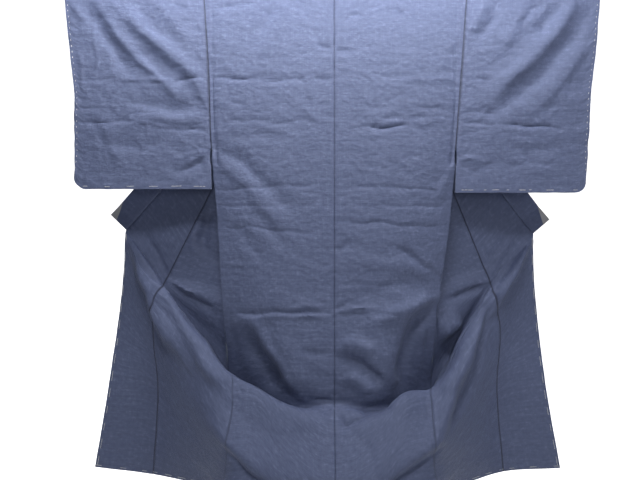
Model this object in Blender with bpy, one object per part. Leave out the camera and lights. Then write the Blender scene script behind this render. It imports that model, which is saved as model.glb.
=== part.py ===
# Plain kimono hung on a rod, back towards the viewer, both fronts folded open behind it.
# The garment is worked out as one sewn middle surface. Each cut piece is then taken
# from it, given its wall and kept a hair's breadth from its neighbours at the seams.
import math

import bmesh
import bpy
import numpy as np
from mathutils import Matrix

# Driving sizes, in metres
WALL = 0.002
COLLAR_WALL = 0.0025
SEAM_GAP = 0.0003
ROD_RADIUS = 0.012
ROD_LENGTH = 1.40
ROD_SIDES = 40
CM = 0.01
TINY = 1e-12

# Least lean of two rims' directions that a rim corner is drawn in for
SHARPEST_LEAN = 0.03

# Finish
INDIGO = (0.075, 0.090, 0.150)
PALE_WOOD = (0.62, 0.52, 0.40)
CLOTH_ROUGHNESS = 0.8
WOOD_ROUGHNESS = 0.5
SMOOTH_ANGLE = 40

# Cut sizes, in centimetres. The okumi is the narrow panel between a front and the collar.
BACK_WIDTH = 30.0
SHOULDER_WIDTH = 31.9
FRONT_WIDTH = 24.0
OKUMI_WIDTH = 15.6
COLLAR_WIDTH = 5.8
NECK_HALF = 9.0
POINT_DROP = 17.8
SIDE_FOLD = 0.5

# The sleeve, in centimetres: its round corner, the top of its closed cuff, and the rows of
# the edge that hangs free below the armhole, which steps clear of the body and leans away
SLEEVE_CORNER = 2.6
CORNER_ANGLES = (30, 60, 90)
CUFF_DROP = 26.0
FREE_EDGE_START = 1.2
FREE_EDGE_MIDDLE = 0.45
FREE_EDGE_STEP = 0.3
FREE_EDGE_LEAN = 0.015
SLANT_FADE = 6.0

# Radius in centimetres at which the middle of the cloth goes over the rod
DRAPE_RADIUS = 1.38

# Cells across each panel
NECK_CELLS = 3
NEAR_CELLS = 4
ROLL_CELLS = 3
FAR_CELLS = 5
FRONT_CELLS = NEAR_CELLS + ROLL_CELLS + FAR_CELLS
OKUMI_CELLS = 5
COLLAR_CELLS = 4
SLEEVE_CELLS = 12
ARC_CELLS = 6

# Rows of cells from each named section to the next
ROW_STEPS = {"neck": 4, "point": 3, "underarm": 2, "waist": 2, "lip": 3, "floor": 2,
             "rim": 2, "ramp": 2, "crest": 3, "skirt": 2}
UPPER = ("neck", "point", "underarm", "waist", "lip")
LOWER = ("floor", "rim", "ramp", "crest", "skirt", "hem")

# Cut distance from the centre seam of the columns the lower tables name
COLUMNS = {"centre": 0.0, "half": 15.0, "outer": 22.5, "side": 30.0,
           "front": 42.0, "okumi": 54.0, "edge": 69.6}

# How far the front's columns have spread evenly again, by lower section
EVENNESS = {"floor": 0.0, "rim": 0.3, "ramp": 0.7, "crest": 1.0, "skirt": 1.0, "hem": 1.0}

# Distance in centimetres between the two layers at the side, by section
SIDE_SPREAD = {"neck": 2.8, "point": 2.3, "underarm": 0.9, "waist": 0.6, "lip": 0.6}
# How far the front layer stands off behind the back layer, by section
FRONT_RISE = {"neck": 0.0, "point": 0.5, "underarm": 1.2, "waist": 1.2, "lip": 1.0}
RISE_REACH = 5.0

# Each section: across, depth, height in cm at the centre, half, outer and side columns
LEFT_BACK = {
    "neck": ((0, -1.4, 0), (16.0, -1.4, 0), (24.0, -1.4, 0), (31.9, -1.4, 0)),
    "point": ((0, -1.5, -17.8), (15.5, -2.0, -17.8), (23.3, -1.7, -17.8), (30.8, -1.1, -17.8)),
    "underarm": ((0, -1.7, -45), (15.0, -2.5, -43), (22.5, -2.0, -40.8), (30.1, -0.9, -38.8)),
    "waist": ((0, -1.8, -72), (14.6, -2.6, -68), (21.9, -1.8, -61), (28.8, 0.0, -56)),
    "lip": ((0, -1.6, -98), (12.6, -1.5, -92), (20.0, -0.8, -82.5), (27.7, 0.8, -76.5)),
}
RIGHT_BACK = {
    "neck": ((0, -1.4, 0), (16.2, -1.4, 0), (24.3, -1.4, 0), (32.4, -1.4, 0)),
    "point": ((0, -1.5, -17.8), (15.7, -2.1, -17.8), (23.5, -1.8, -17.8), (31.2, -1.1, -17.8)),
    "underarm": ((0, -1.7, -45), (14.9, -2.7, -43), (22.3, -2.2, -40.8), (29.7, -0.9, -38.8)),
    "waist": ((0, -1.8, -72), (14.4, -2.5, -68), (21.5, -1.7, -61), (28.5, 0.0, -56)),
    "lip": ((0, -1.6, -98), (13.0, -2.2, -96.5), (19.2, -1.0, -86), (25.8, 1.0, -77)),
}
# The same below the lip, on through the front, okumi seam and front edge columns
LEFT_SKIRT = {
    "floor": ((0, -1.2, -101), (13.0, 1.5, -103), (19.7, 4.5, -102), (26.2, 6.0, -98.5),
              (34.0, 9.0, -89), (44.0, 8.1, -72.8), (54.2, 9.9, -59.0)),
    "rim": ((0, -3.0, -102.2), (12.2, -4.0, -100.3), (18.8, -3.0, -96.8), (25.1, -1.5, -93.5),
            (33.5, 3.5, -84.6), (44.2, 7.6, -73.6), (54.2, 9.8, -59.8)),
    "ramp": ((0, -9.0, -109.5), (12.9, -8.5, -108), (19.2, -7.0, -105.3), (24.6, -5.0, -101.2),
             (34.9, 1.5, -89.8), (45.0, 7.8, -77.0), (54.3, 9.9, -60.9)),
    "crest": ((0, -14, -117.4), (13.6, -12.5, -115.8), (19.7, -11, -112.4), (25.6, -8.5, -108.7),
              (36.1, 1.5, -95.3), (46.1, 8.4, -80.3), (54.4, 10.2, -62.4)),
    "skirt": ((0, -14.6, -119.9), (13.6, -12.8, -118.7), (19.7, -11, -116.5), (25.7, -8, -114.5),
              (35.7, 1.8, -108.8), (45.6, 9.6, -100.3), (58.9, 11.2, -98.9)),
    "hem": ((0, -14, -121.9), (13.6, -12, -121.5), (19.9, -9.5, -121), (25.9, -6.5, -120.2),
            (36.1, 2.8, -121.5), (47.0, 10.2, -122), (62.6, 11.5, -120.5)),
}
RIGHT_SKIRT = {
    "floor": ((0, -1.2, -101), (12.3, 0.0, -102.5), (18.5, 3.5, -101.5), (24.6, 6.0, -100.7),
              (32.3, 8.8, -87), (40.5, 8.1, -72.4), (52.0, 9.9, -60.2)),
    "rim": ((0, -3.0, -102.2), (11.4, -4.8, -101.9), (17.1, -3.5, -97.9), (23.6, -1.5, -96.9),
            (32.0, 3.5, -83.8), (40.7, 7.6, -73.2), (52.0, 9.8, -61.0)),
    "ramp": ((0, -9.0, -109.5), (10.8, -9.0, -108.1), (16.6, -8.0, -105), (23.5, -5.0, -102.7),
             (32.4, 1.5, -89.8), (41.5, 7.8, -77.1), (52.0, 9.9, -62.1)),
    "crest": ((0, -14, -117.4), (9.8, -12.8, -116), (15.7, -11.3, -113.2), (23.5, -8.5, -109.4),
              (33.1, 1.5, -96.5), (42.5, 8.4, -80.2), (52.1, 10.2, -63.6)),
    "skirt": ((0, -14.6, -119.9), (10.0, -13, -118.9), (16.0, -11, -117), (23.5, -8, -114.7),
              (33.7, 1.8, -109), (42.5, 9.6, -100.3), (55.5, 11.2, -97.6)),
    "hem": ((0, -14, -121.9), (10.1, -12, -121.6), (16.1, -9.5, -121.3), (23.6, -6.5, -120.4),
            (33.6, 2.8, -121.6), (44.3, 10.2, -121.3), (59.6, 11.5, -120.8)),
}

# Least distance kept between two sections of one column, in centimetres
SHORTEST_RUN = 0.05

# The seam between front and okumi, laid flat: how far across it is at three heights
FRONT_SEAM = {"height": (-40.0, -POINT_DROP, 2.2), "across": (6.0, 6.5, NECK_HALF)}

# Where each front folds back on itself: the fold line's place at one height and its tilt from
# upright in degrees, and the heights at which its lowest upper row ends on the two seams
LEFT_FOLD = {"across": 6.95, "height": -2.4, "tilt": 13.55, "lip_okumi": -81.3, "lip_edge": -73.6}
RIGHT_FOLD = {"across": 8.62, "height": -2.4, "tilt": 11.3, "lip_okumi": -78.4, "lip_edge": -71.5}
# The roll along the fold line: its widest radius, the share of the room beside it that it may
# take, the least share of the width left past it and the run in which the columns gather to it
ROLL_RADIUS = 2.0
ROLL_TAPER = 0.55
FOLD_MARGIN = 0.1
FOLD_START = 6.0
# How much the folded part leans away from the front behind it, for each unit of width
LAY_BACK = 0.16
# Which way the collar stands at the neck point and at the middle of the back
COLLAR_STAND = (-0.12, -0.08, 0.99)
COLLAR_CENTRE = (0.0, -0.08, 0.99)

# Outer edge of each sleeve at the rod, at mid height and at its foot, and the foot's height
LEFT_SLEEVE = {"heights": (0, -15, -25, -48.3), "outer": (66.3, 64.9, 63.8, 63.8), "foot": -48.3}
RIGHT_SLEEVE = {"heights": (0, -15, -25, -49.2), "outer": (65.3, 64.2, 63.0, 61.8), "foot": -49.2}
# Soft slanting folds of the sleeves: two ends (across, height), half width and rise
LEFT_SLANTS = (((60, -2), (45, -20), 2.5, 0.6), ((53, -8), (34, -27), 2.5, 0.7),
               ((56, -3), (35, -22), 2.5, -0.7))
RIGHT_SLANTS = (((62, -3), (51, -22), 3.0, 0.7), ((51, -22), (38, -29), 3.0, 0.7),
                ((52, -10), (36, -24), 3.5, -0.6))

SIDES = {
    "left": {"sign": -1, "back": LEFT_BACK, "skirt": LEFT_SKIRT, "fold": LEFT_FOLD,
             "sleeve": LEFT_SLEEVE, "slants": LEFT_SLANTS},
    "right": {"sign": 1, "back": RIGHT_BACK, "skirt": RIGHT_SKIRT, "fold": RIGHT_FOLD,
              "sleeve": RIGHT_SLEEVE, "slants": RIGHT_SLANTS},
}


def curve(knots, values, at):
    """A smooth curve through the values at the knots, read at other places."""
    knots = np.asarray(knots, float)
    values = np.asarray(values, float)
    at = np.asarray(at, float)
    slopes = np.gradient(values, knots, axis=0)
    cell = np.clip(np.searchsorted(knots, at, side="right") - 1, 0, len(knots) - 2)
    span = (knots[cell + 1] - knots[cell])[:, None]
    part = (at - knots[cell])[:, None] / span
    start = 1 - 3 * part ** 2 + 2 * part ** 3
    lean_in = (part - 2 * part ** 2 + part ** 3) * span
    lean_out = (part ** 3 - part ** 2) * span
    return (start * values[cell] + (1 - start) * values[cell + 1]
            + lean_in * slopes[cell] + lean_out * slopes[cell + 1])


def loft(sections, steps):
    """Rows of points through the sections, each column paced by its own length."""
    sections = np.asarray(sections, float)
    places = [k + i / n for k, n in enumerate(steps) for i in range(n)] + [len(steps)]
    places = np.array(places)
    columns = []
    for c in range(sections.shape[1]):
        points = sections[:, c]
        runs = np.linalg.norm(np.diff(points, axis=0), axis=1)
        knots = np.concatenate(([0.0], np.cumsum(np.maximum(runs, SHORTEST_RUN))))
        columns.append(curve(knots, points, np.interp(places, range(len(knots)), knots)))
    return np.stack(columns, axis=1)


def ease(value):
    value = np.clip(value, 0, 1)
    return value * value * (3 - 2 * value)


def by_section(table, rows):
    """A size given for each upper section, read at every upper row."""
    return np.interp(rows, range(len(UPPER)), [table[name] for name in UPPER])


def back_columns():
    """Cut distances of the back's columns, the neck point being one of them."""
    neck = NECK_HALF * BACK_WIDTH / SHOULDER_WIDTH
    return np.concatenate((np.linspace(0, neck, NECK_CELLS + 1)[:-1],
                           np.linspace(neck, BACK_WIDTH, FRONT_CELLS + 1)))


def lay_across(points, names, at):
    """One section's points spread over the columns, the centre seam kept level."""
    knots = [COLUMNS[name] for name in names]
    points = np.asarray(points, float)
    mirrored = points[1] * np.array([-1, 1, 1])
    return curve([-knots[1]] + knots, np.vstack((mirrored, points)), at)


def fold_back(fold, across, height, depth, radius):
    """A flat front turned back round its fold line; gives across, depth and height."""
    tilt = math.radians(fold["tilt"])
    beside = np.array([math.cos(tilt), math.sin(tilt)])
    along = np.array([math.sin(tilt), -math.cos(tilt)])
    away_u = across - fold["across"]
    away_z = height - fold["height"]
    off = away_u * beside[0] + away_z * beside[1]
    run = away_u * along[0] + away_z * along[1]
    quarter = math.pi * radius / 2
    turn = np.clip(-off / radius, -math.pi / 2, math.pi / 2)
    flat = np.abs(off) >= quarter
    wide = np.where(flat, np.abs(off), quarter - radius * np.cos(turn))
    behind = radius * (1 + np.sin(turn)) + LAY_BACK * np.maximum(-off - quarter, 0)
    return np.stack((fold["across"] + run * along[0] + wide * beside[0],
                     depth + behind,
                     fold["height"] + run * along[1] + wide * beside[1]), axis=-1)


def upper_rows():
    steps = [ROW_STEPS[name] for name in UPPER[:-1]]
    return np.array([k + i / n for k, n in enumerate(steps) for i in range(n)] + [len(steps)])


def over_rod(across, angle):
    """A point of the cloth where it goes over the rod, from back (-90) to front (90)."""
    bend = math.radians(angle)
    return across, DRAPE_RADIUS * math.sin(bend), DRAPE_RADIUS * math.cos(bend)


def off_fold(fold, across, height):
    """Distance from the fold line, towards the side of the garment."""
    tilt = math.radians(fold["tilt"])
    return (across - fold["across"]) * math.cos(tilt) + (height - fold["height"]) * math.sin(tilt)


def front_shares(near, far, quarter):
    """Where one row's front columns lie across its width, gathered round the fold line."""
    whole = near - far
    roll = quarter / whole
    at = min(near / whole, 1 - FOLD_MARGIN)
    steps = [at, (at + min(roll, at / 2)) / 2, min(roll, at / 2), min(roll / 2, at / 4), 0]
    after = 1 - at
    reach = min(roll, after * ROLL_CELLS / (ROLL_CELLS + FAR_CELLS))
    aligned = np.concatenate((at - np.array(steps), at + np.linspace(0, reach, ROLL_CELLS + 1)[1:],
                              at + np.linspace(reach, after, FAR_CELLS + 1)[1:]))
    even = np.linspace(0, 1, FRONT_CELLS + 1)
    return even + (aligned - even) * ease(-far / FOLD_START)


def front_flat(side, radii, side_points):
    """Flat across and height of the front, okumi and collar columns at the upper rows."""
    fold = side["fold"]
    height = side_points[:, 2]
    fall = np.clip((-POINT_DROP - height) / (-POINT_DROP - height[-1]), 0, 1)
    past = height < -POINT_DROP
    seam_z = np.where(past, -POINT_DROP + fall * (fold["lip_okumi"] + POINT_DROP), height)
    edge_z = np.where(past, -POINT_DROP + fall * (fold["lip_edge"] + POINT_DROP), height)
    seam_u = np.interp(height, FRONT_SEAM["height"], FRONT_SEAM["across"])
    edge_u = seam_u - fall * OKUMI_WIDTH
    near = off_fold(fold, side_points[:, 0], height)
    far = off_fold(fold, seam_u, seam_z)
    share = np.array([front_shares(near[k], far[k], math.pi * radii[k] / 2)
                      for k in range(len(height))])
    last = share[-1]
    flat_u = side_points[:, :1] + (seam_u[:, None] - side_points[:, :1]) * share
    flat_z = height[:, None] + (seam_z - height)[:, None] * share
    share = np.linspace(0, 1, OKUMI_CELLS + 1)[1:]
    okumi_u = seam_u[:, None] + (edge_u - seam_u)[:, None] * share
    okumi_z = seam_z[:, None] + (edge_z - seam_z)[:, None] * share
    run = np.gradient(np.stack((edge_u, edge_z), axis=1), axis=0)
    run /= np.linalg.norm(run, axis=1)[:, None]
    share = np.linspace(0, COLLAR_WIDTH, COLLAR_CELLS + 1)[1:]
    collar_u = edge_u[:, None] + run[:, 1:] * share
    collar_z = edge_z[:, None] - run[:, :1] * share
    return np.hstack((flat_u, okumi_u, collar_u)), np.hstack((flat_z, okumi_z, collar_z)), last


def front_upper(side, rows, side_points):
    """The front, okumi and collar columns from the rod to the lip, folded back."""
    fold = side["fold"]
    room = off_fold(fold, side_points[:, 0], side_points[:, 2])
    radii = np.minimum(ROLL_RADIUS, ROLL_TAPER * room)
    flat_u, flat_z, share = front_flat(side, radii, side_points)
    spread = by_section(SIDE_SPREAD, rows)
    rise = by_section(FRONT_RISE, rows)
    result = []
    for k in range(len(rows)):
        inward = np.maximum(side_points[k, 0] - flat_u[k], 0)
        depth = side_points[k, 1] + spread[k] + rise[k] * (1 - np.exp(-(inward / RISE_REACH) ** 2))
        result.append(fold_back(fold, flat_u[k], flat_z[k], depth, radii[k]))
    return np.array(result), share


def body_grid(side):
    """Every column of one side of the garment from the rod to the hem."""
    cuts = back_columns()
    names = list(COLUMNS)
    upper = [lay_across(side["back"][name], names[:4], cuts) for name in UPPER]
    low_cuts = np.append(cuts[:-1], BACK_WIDTH - SIDE_FOLD / 2)
    steps = list(ROW_STEPS.values())
    back = loft(upper + [lay_across(side["skirt"][name], names, low_cuts) for name in LOWER], steps)
    rows = upper_rows()
    folded, share = front_upper(side, rows, back[:len(rows), -1])
    collar = folded[:, -COLLAR_CELLS:]
    front = folded[:, :-COLLAR_CELLS]
    even = np.linspace(0, 1, FRONT_CELLS + 1)
    okumi_cuts = np.linspace(COLUMNS["okumi"], COLUMNS["edge"], OKUMI_CELLS + 1)[1:]
    lower = []
    for name in LOWER:
        spread = share + (even - share) * EVENNESS[name]
        front_cuts = BACK_WIDTH + FRONT_WIDTH * spread
        front_cuts[0] += SIDE_FOLD / 2
        lower.append(lay_across(side["skirt"][name], names, np.append(front_cuts, okumi_cuts)))
    hung = loft([front[-2], front[-1]] + lower, [1] + steps[len(UPPER) - 1:])
    front = np.vstack((front[:-1], hung[1:]))
    return back, front, collar


class Sewn:
    """The middle surface: points shared along the seams, faces listed by piece."""

    def __init__(self):
        self.points = []
        self.faces = {}

    def lay(self, grid, sign):
        grid = np.asarray(grid, float) * CM
        first = len(self.points)
        flat = grid.reshape(-1, 3) * np.array([sign, 1, 1])
        self.points.extend(flat)
        return np.arange(first, first + len(flat)).reshape(grid.shape[:-1])

    def fill(self, piece, index, turned):
        """Quads between neighbouring points of an index table."""
        for above, below in zip(index[:-1], index[1:]):
            for k in range(len(above) - 1):
                corners = [above[k], above[k + 1], below[k + 1], below[k]]
                corners = [c for i, c in enumerate(corners) if c not in corners[:i]]
                self.faces.setdefault(piece, []).append(corners[::-1] if turned else corners)

    def normals(self):
        points = np.array(self.points)
        sums = np.zeros_like(points)
        for faces in self.faces.values():
            for face in faces:
                corners = points[face]
                total = np.zeros(3)
                for k in range(1, len(face) - 1):
                    total += np.cross(corners[k] - corners[0], corners[k + 1] - corners[0])
                total /= max(math.sqrt(np.linalg.norm(total)), TINY)
                sums[face] += total
        return sums / np.maximum(np.linalg.norm(sums, axis=1), TINY)[:, None]


def sleeve_relief(side, across, height, inner):
    """Depth added by the sleeve's slanting folds, dying out at the seam and the rod."""
    relief = np.zeros(np.shape(across))
    for start, end, reach, rise in side["slants"]:
        run = np.subtract(end, start).astype(float)
        length = np.linalg.norm(run)
        run /= length
        part = (across - start[0]) * run[0] + (height - start[1]) * run[1]
        off = (across - start[0]) * run[1] - (height - start[1]) * run[0]
        fade = ease(1 + part / SLANT_FADE) * ease(1 + (length - part) / SLANT_FADE)
        relief += rise * fade * np.exp(-(off / reach) ** 2)
    return relief * ease((across - inner) / SLANT_FADE) * ease(-height / SLANT_FADE)


def build_sleeve(cloth, name, side, back, front, back_index, front_index, arc_index, underarm):
    """A sleeve bag from the armhole to the cuff, closed at its foot and low on both ends."""
    sleeve = side["sleeve"]
    turned = side["sign"] < 0
    armhole = back[:underarm + 1, -1]
    low = armhole[-1]
    foot = sleeve["foot"]
    drops = np.array([FREE_EDGE_START, FREE_EDGE_MIDDLE * (low[2] - foot), low[2] - foot])
    heights = np.concatenate((armhole[:, 2], low[2] - drops))
    free = low[0] + FREE_EDGE_STEP
    inner = np.concatenate((armhole[:-1, 0], [free], free - drops * FREE_EDGE_LEAN))
    near = np.concatenate((armhole[:, 1], [low[1]] * 3))
    far = np.concatenate((front[:underarm + 1, 0, 1], [front[underarm, 0, 1]] * 3))
    outer = np.interp(-heights, -np.array(sleeve["heights"]), sleeve["outer"])
    straight = 1 - SLEEVE_CORNER / (outer[-1] - inner[-1])
    corner = straight + (1 - straight) * np.sin(np.radians(CORNER_ANGLES))
    plain = SLEEVE_CELLS + 1 - len(CORNER_ANGLES)
    share = np.concatenate((np.linspace(0, straight, plain), corner))
    across = inner[:, None] + (outer - inner)[:, None] * share
    past = np.clip(share - straight, 0, None) * (outer[-1] - inner[-1])
    lift = SLEEVE_CORNER - np.sqrt(np.maximum(SLEEVE_CORNER ** 2 - past ** 2, 0))
    fall = np.clip((low[2] - heights) / (low[2] - foot), 0, 1)
    height = heights[:, None] + fall[:, None] * lift
    relief = sleeve_relief(side, across, height, low[0])
    near_grid = np.stack((across, near[:, None] + relief, height), axis=-1)
    far_grid = np.stack((across, far[:, None] + relief, height), axis=-1)
    near_index = cloth.lay(near_grid, side["sign"])
    far_index = cloth.lay(far_grid, side["sign"])
    near_index[:underarm, 0] = back_index[:underarm, -1]
    far_index[:underarm, 0] = front_index[:underarm, 0]
    angles = np.linspace(-90, 90, ARC_CELLS + 1)[1:-1]
    arcs = np.array([[over_rod(u, angle) for u in across[0]] for angle in angles])
    sleeve_arcs = cloth.lay(arcs, side["sign"])
    sleeve_arcs[:, 0] = arc_index[:, -1]
    ring = np.vstack((near_index[::-1], sleeve_arcs, far_index, near_index[-1:]))
    cloth.fill(name, ring, not turned)
    closed = slice(underarm + 1, None)
    cloth.fill(name, np.stack((far_index[closed, 0], near_index[closed, 0]), axis=1), turned)
    cuff = int(np.argmax(heights <= -CUFF_DROP))
    cloth.fill(name, np.stack((near_index[cuff:, -1], far_index[cuff:, -1]), axis=1), turned)


def collar_neck(point_row, seams):
    """Collar points from the okumi's point round the neck, turning to stand up."""
    share = np.linspace(0, COLLAR_WIDTH, COLLAR_CELLS + 1)[1:, None]
    laid = point_row - seams[0]
    runs = np.linalg.norm(np.diff(seams, axis=0), axis=1)
    travelled = np.concatenate(([0.0], np.cumsum(runs)))
    front = travelled[-1 - NECK_CELLS]
    rows = []
    for seam, gone in zip(seams[1:], travelled[1:]):
        if gone <= front:
            part = ease(gone / front)
            offset = laid * (1 - part) + share * np.array(COLLAR_STAND) * part
        else:
            part = (gone - front) / (travelled[-1] - front)
            offset = share * (np.array(COLLAR_STAND) * (1 - part) + np.array(COLLAR_CENTRE) * part)
        offset *= share / np.linalg.norm(offset, axis=1)[:, None]
        rows.append(seam + offset)
    return np.array(rows)


def sew():
    """Lay every panel of the garment on shared seams."""
    cloth = Sewn()
    underarm = ROW_STEPS["neck"] + ROW_STEPS["point"]
    point = ROW_STEPS["neck"]
    lip = len(upper_rows()) - 1
    centre = None
    collar_halves = []
    for label, side in SIDES.items():
        turned = side["sign"] < 0
        back, front, collar = body_grid(side)
        back_index = cloth.lay(back, side["sign"])
        front_index = cloth.lay(front, side["sign"])
        if centre is None:
            centre = back_index[:, 0]
        back_index[:, 0] = centre
        seam = FRONT_CELLS
        body = label + "_body"
        cloth.fill(body, back_index, turned)
        cloth.fill(body, front_index[:, :seam + 1], turned)
        cloth.fill(body, np.stack((back_index[underarm:, -1], front_index[underarm:, 0]), axis=1), turned)
        top = back[0, NECK_CELLS:]
        low = front[0, seam::-1]
        angles = np.linspace(-90, 90, ARC_CELLS + 1)[1:-1]
        arcs = []
        for angle in angles:
            part = (angle + 90) / 180
            across = top[:, 0] * (1 - part) + low[:, 0] * part
            arcs.append([over_rod(u, angle) for u in across])
        arc_index = cloth.lay(np.array(arcs), side["sign"])
        over = np.vstack((back_index[0, NECK_CELLS:], arc_index, front_index[0, seam::-1]))
        cloth.fill(body, over, not turned)
        okumi_index = front_index[point:, seam:].copy()
        okumi_index[0, :] = okumi_index[0, 0]
        cloth.fill(label + "_okumi", okumi_index, turned)
        build_sleeve(cloth, label + "_sleeve", side, back, front,
                     back_index, front_index, arc_index, underarm)
        seam_index = np.concatenate((okumi_index[lip - point:0:-1, -1], front_index[point::-1, seam],
                                     arc_index[::-1, 0], back_index[0, NECK_CELLS::-1]))
        around = np.vstack((front[point::-1, seam], np.array(arcs)[::-1, 0], back[0, NECK_CELLS::-1]))
        rows = np.vstack((collar[lip:point - 1:-1], collar_neck(collar[point], around)))
        band = cloth.lay(rows, side["sign"])
        collar_halves.append(np.hstack((seam_index[:, None], band)))
    left, right = collar_halves
    right[-1] = left[-1]
    cloth.fill("collar", np.vstack((left, right[-2::-1])), False)
    return cloth


def unit(vector):
    return vector / max(np.linalg.norm(vector), TINY)


def inset(points, faces, normals):
    """Points of one piece, its rims drawn in by half the seam gap."""
    owners = {}
    for face in faces:
        for k, corner in enumerate(face):
            owners[(corner, face[(k + 1) % len(face)])] = face
    rims = [edge for edge in owners if (edge[1], edge[0]) not in owners]
    pulls = {}
    for start, end in rims:
        inward = unit(np.cross(normals[start] + normals[end], points[end] - points[start]))
        pulls.setdefault(start, []).append(inward)
        pulls.setdefault(end, []).append(inward)
    moved = {}
    for corner, pair in pulls.items():
        lean = 1 + float(np.dot(pair[0], pair[-1]))
        moved[corner] = points[corner] + sum(pair) * SEAM_GAP / 2 / max(lean, SHARPEST_LEAN)
    return moved, rims


def new_object(name, shape, colour, roughness):
    """An object with its own material, from a closed shape."""
    bmesh.ops.recalc_face_normals(shape, faces=shape.faces)
    mesh = bpy.data.meshes.new(name)
    shape.to_mesh(mesh)
    shape.free()
    mesh.shade_smooth()
    mesh.set_sharp_from_angle(angle=math.radians(SMOOTH_ANGLE))
    thing = bpy.data.objects.new(name, mesh)
    bpy.context.scene.collection.objects.link(thing)
    material = bpy.data.materials.new(name + "_material")
    material.use_nodes = True
    shader = material.node_tree.nodes["Principled BSDF"]
    shader.inputs["Base Color"].default_value = (*colour, 1)
    shader.inputs["Roughness"].default_value = roughness
    mesh.materials.append(material)
    return thing


def in_triangles(points, faces):
    """Each face split along its shorter diagonal."""
    result = []
    for face in faces:
        if len(face) == 4:
            first = np.linalg.norm(points[face[0]] - points[face[2]])
            second = np.linalg.norm(points[face[1]] - points[face[3]])
            if second < first:
                face = face[1:] + face[:1]
            result += [face[:3], [face[0], face[2], face[3]]]
        else:
            result.append(face)
    return result


def cut_piece(cloth, normals, name, wall):
    """One piece of the garment as a closed solid with its wall."""
    points = np.array(cloth.points)
    faces = in_triangles(points, cloth.faces[name])
    moved, rims = inset(points, faces, normals)
    shape = bmesh.new()
    inner = {}
    outer = {}
    for corner in sorted({corner for face in faces for corner in face}):
        middle = moved.get(corner, points[corner])
        inner[corner] = shape.verts.new(middle + normals[corner] * wall / 2)
        outer[corner] = shape.verts.new(middle - normals[corner] * wall / 2)
    for face in faces:
        shape.faces.new([inner[corner] for corner in face])
        shape.faces.new([outer[corner] for corner in reversed(face)])
    for start, end in rims:
        if start < end:
            shape.faces.new((inner[end], inner[start], outer[end]))
            shape.faces.new((inner[start], outer[start], outer[end]))
        else:
            shape.faces.new((inner[end], inner[start], outer[start]))
            shape.faces.new((inner[end], outer[start], outer[end]))
    return new_object(name, shape, INDIGO, CLOTH_ROUGHNESS)


def build_rod():
    shape = bmesh.new()
    along_x = Matrix.Rotation(math.pi / 2, 4, "Y")
    bmesh.ops.create_cone(shape, cap_ends=True, segments=ROD_SIDES, radius1=ROD_RADIUS,
                          radius2=ROD_RADIUS, depth=ROD_LENGTH, matrix=along_x)
    return new_object("rod", shape, PALE_WOOD, WOOD_ROUGHNESS)


def main():
    for thing in list(bpy.data.objects):
        bpy.data.objects.remove(thing, do_unlink=True)
    cloth = sew()
    normals = cloth.normals()
    for name in sorted(cloth.faces):
        cut_piece(cloth, normals, name, COLLAR_WALL if name == "collar" else WALL)
    build_rod()


main()
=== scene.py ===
# %% [markdown]
# # A plain kimono hung on a rod, seen from its back
# A kimono is made of a few straight strips of narrow cloth. Each body strip runs from the back
# hem over the shoulder to the front hem. Narrow overlap strips, the okumi, widen the fronts,
# one long band makes the collar, and each sleeve is one strip folded over and sewn shut.
# This script makes those strips as thin shells with real folds, sewn on shared seams.
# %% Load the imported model
import math

import bmesh
import bpy
import numpy as np
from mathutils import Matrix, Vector


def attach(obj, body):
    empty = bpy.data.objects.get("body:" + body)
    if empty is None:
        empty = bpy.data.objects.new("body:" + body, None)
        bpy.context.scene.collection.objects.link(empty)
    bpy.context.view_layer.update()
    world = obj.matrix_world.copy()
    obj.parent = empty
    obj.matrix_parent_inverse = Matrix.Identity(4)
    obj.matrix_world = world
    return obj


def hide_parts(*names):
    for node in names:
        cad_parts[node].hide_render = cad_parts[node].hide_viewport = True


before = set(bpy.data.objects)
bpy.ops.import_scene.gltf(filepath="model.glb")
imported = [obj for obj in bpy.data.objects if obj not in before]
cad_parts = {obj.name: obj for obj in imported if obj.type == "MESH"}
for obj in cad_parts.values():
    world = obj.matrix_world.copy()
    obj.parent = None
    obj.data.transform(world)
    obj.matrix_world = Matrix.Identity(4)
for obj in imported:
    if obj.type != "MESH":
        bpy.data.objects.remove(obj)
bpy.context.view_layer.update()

# %% [markdown]
# ## The garment's sizes
# All lengths are in centimetres, measured on one half of the garment: across is out from the
# centre seam, depth is towards the garment's front, and height is down from the rod's middle.
# These are the sizes of the solid parts, so the cloth lies where they are.
# %% Cut sizes
CM = 0.01
TINY = 1e-12
BACK_WIDTH = 30.0
SHOULDER_WIDTH = 31.9
FRONT_WIDTH = 24.0
OKUMI_WIDTH = 15.6
COLLAR_WIDTH = 5.8
NECK_HALF = 9.0
POINT_DROP = 17.8
SIDE_FOLD = 0.5
SLEEVE_CORNER = 2.6
CUFF_DROP = 26.0
FREE_EDGE_START = 0.4
FREE_EDGE_STEP = 0.3
FREE_EDGE_LEAN = 0.015
DRAPE_RADIUS = 1.38

# Half the cloth's thickness. The collar is several layers folded together.
HALF_WALL = 0.065
COLLAR_HALF_WALL = 0.12

# Coarse columns across each panel, and the fine ones between two of them
NECK_CELLS = 3
FRONT_CELLS = 12
OKUMI_CELLS = 5
COLLAR_CELLS = 4
BODY_PARTS = 5
OKUMI_PARTS = 8
COLLAR_PARTS = 4
SLEEVE_COLUMNS = 78
CORNER_COLUMNS = 9
FREE_ROWS = 20
ARC_CELLS = 12
# A fine column this share of a cell away from each seam keeps the seam's groove narrow
HARD_BY = 0.07

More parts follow.
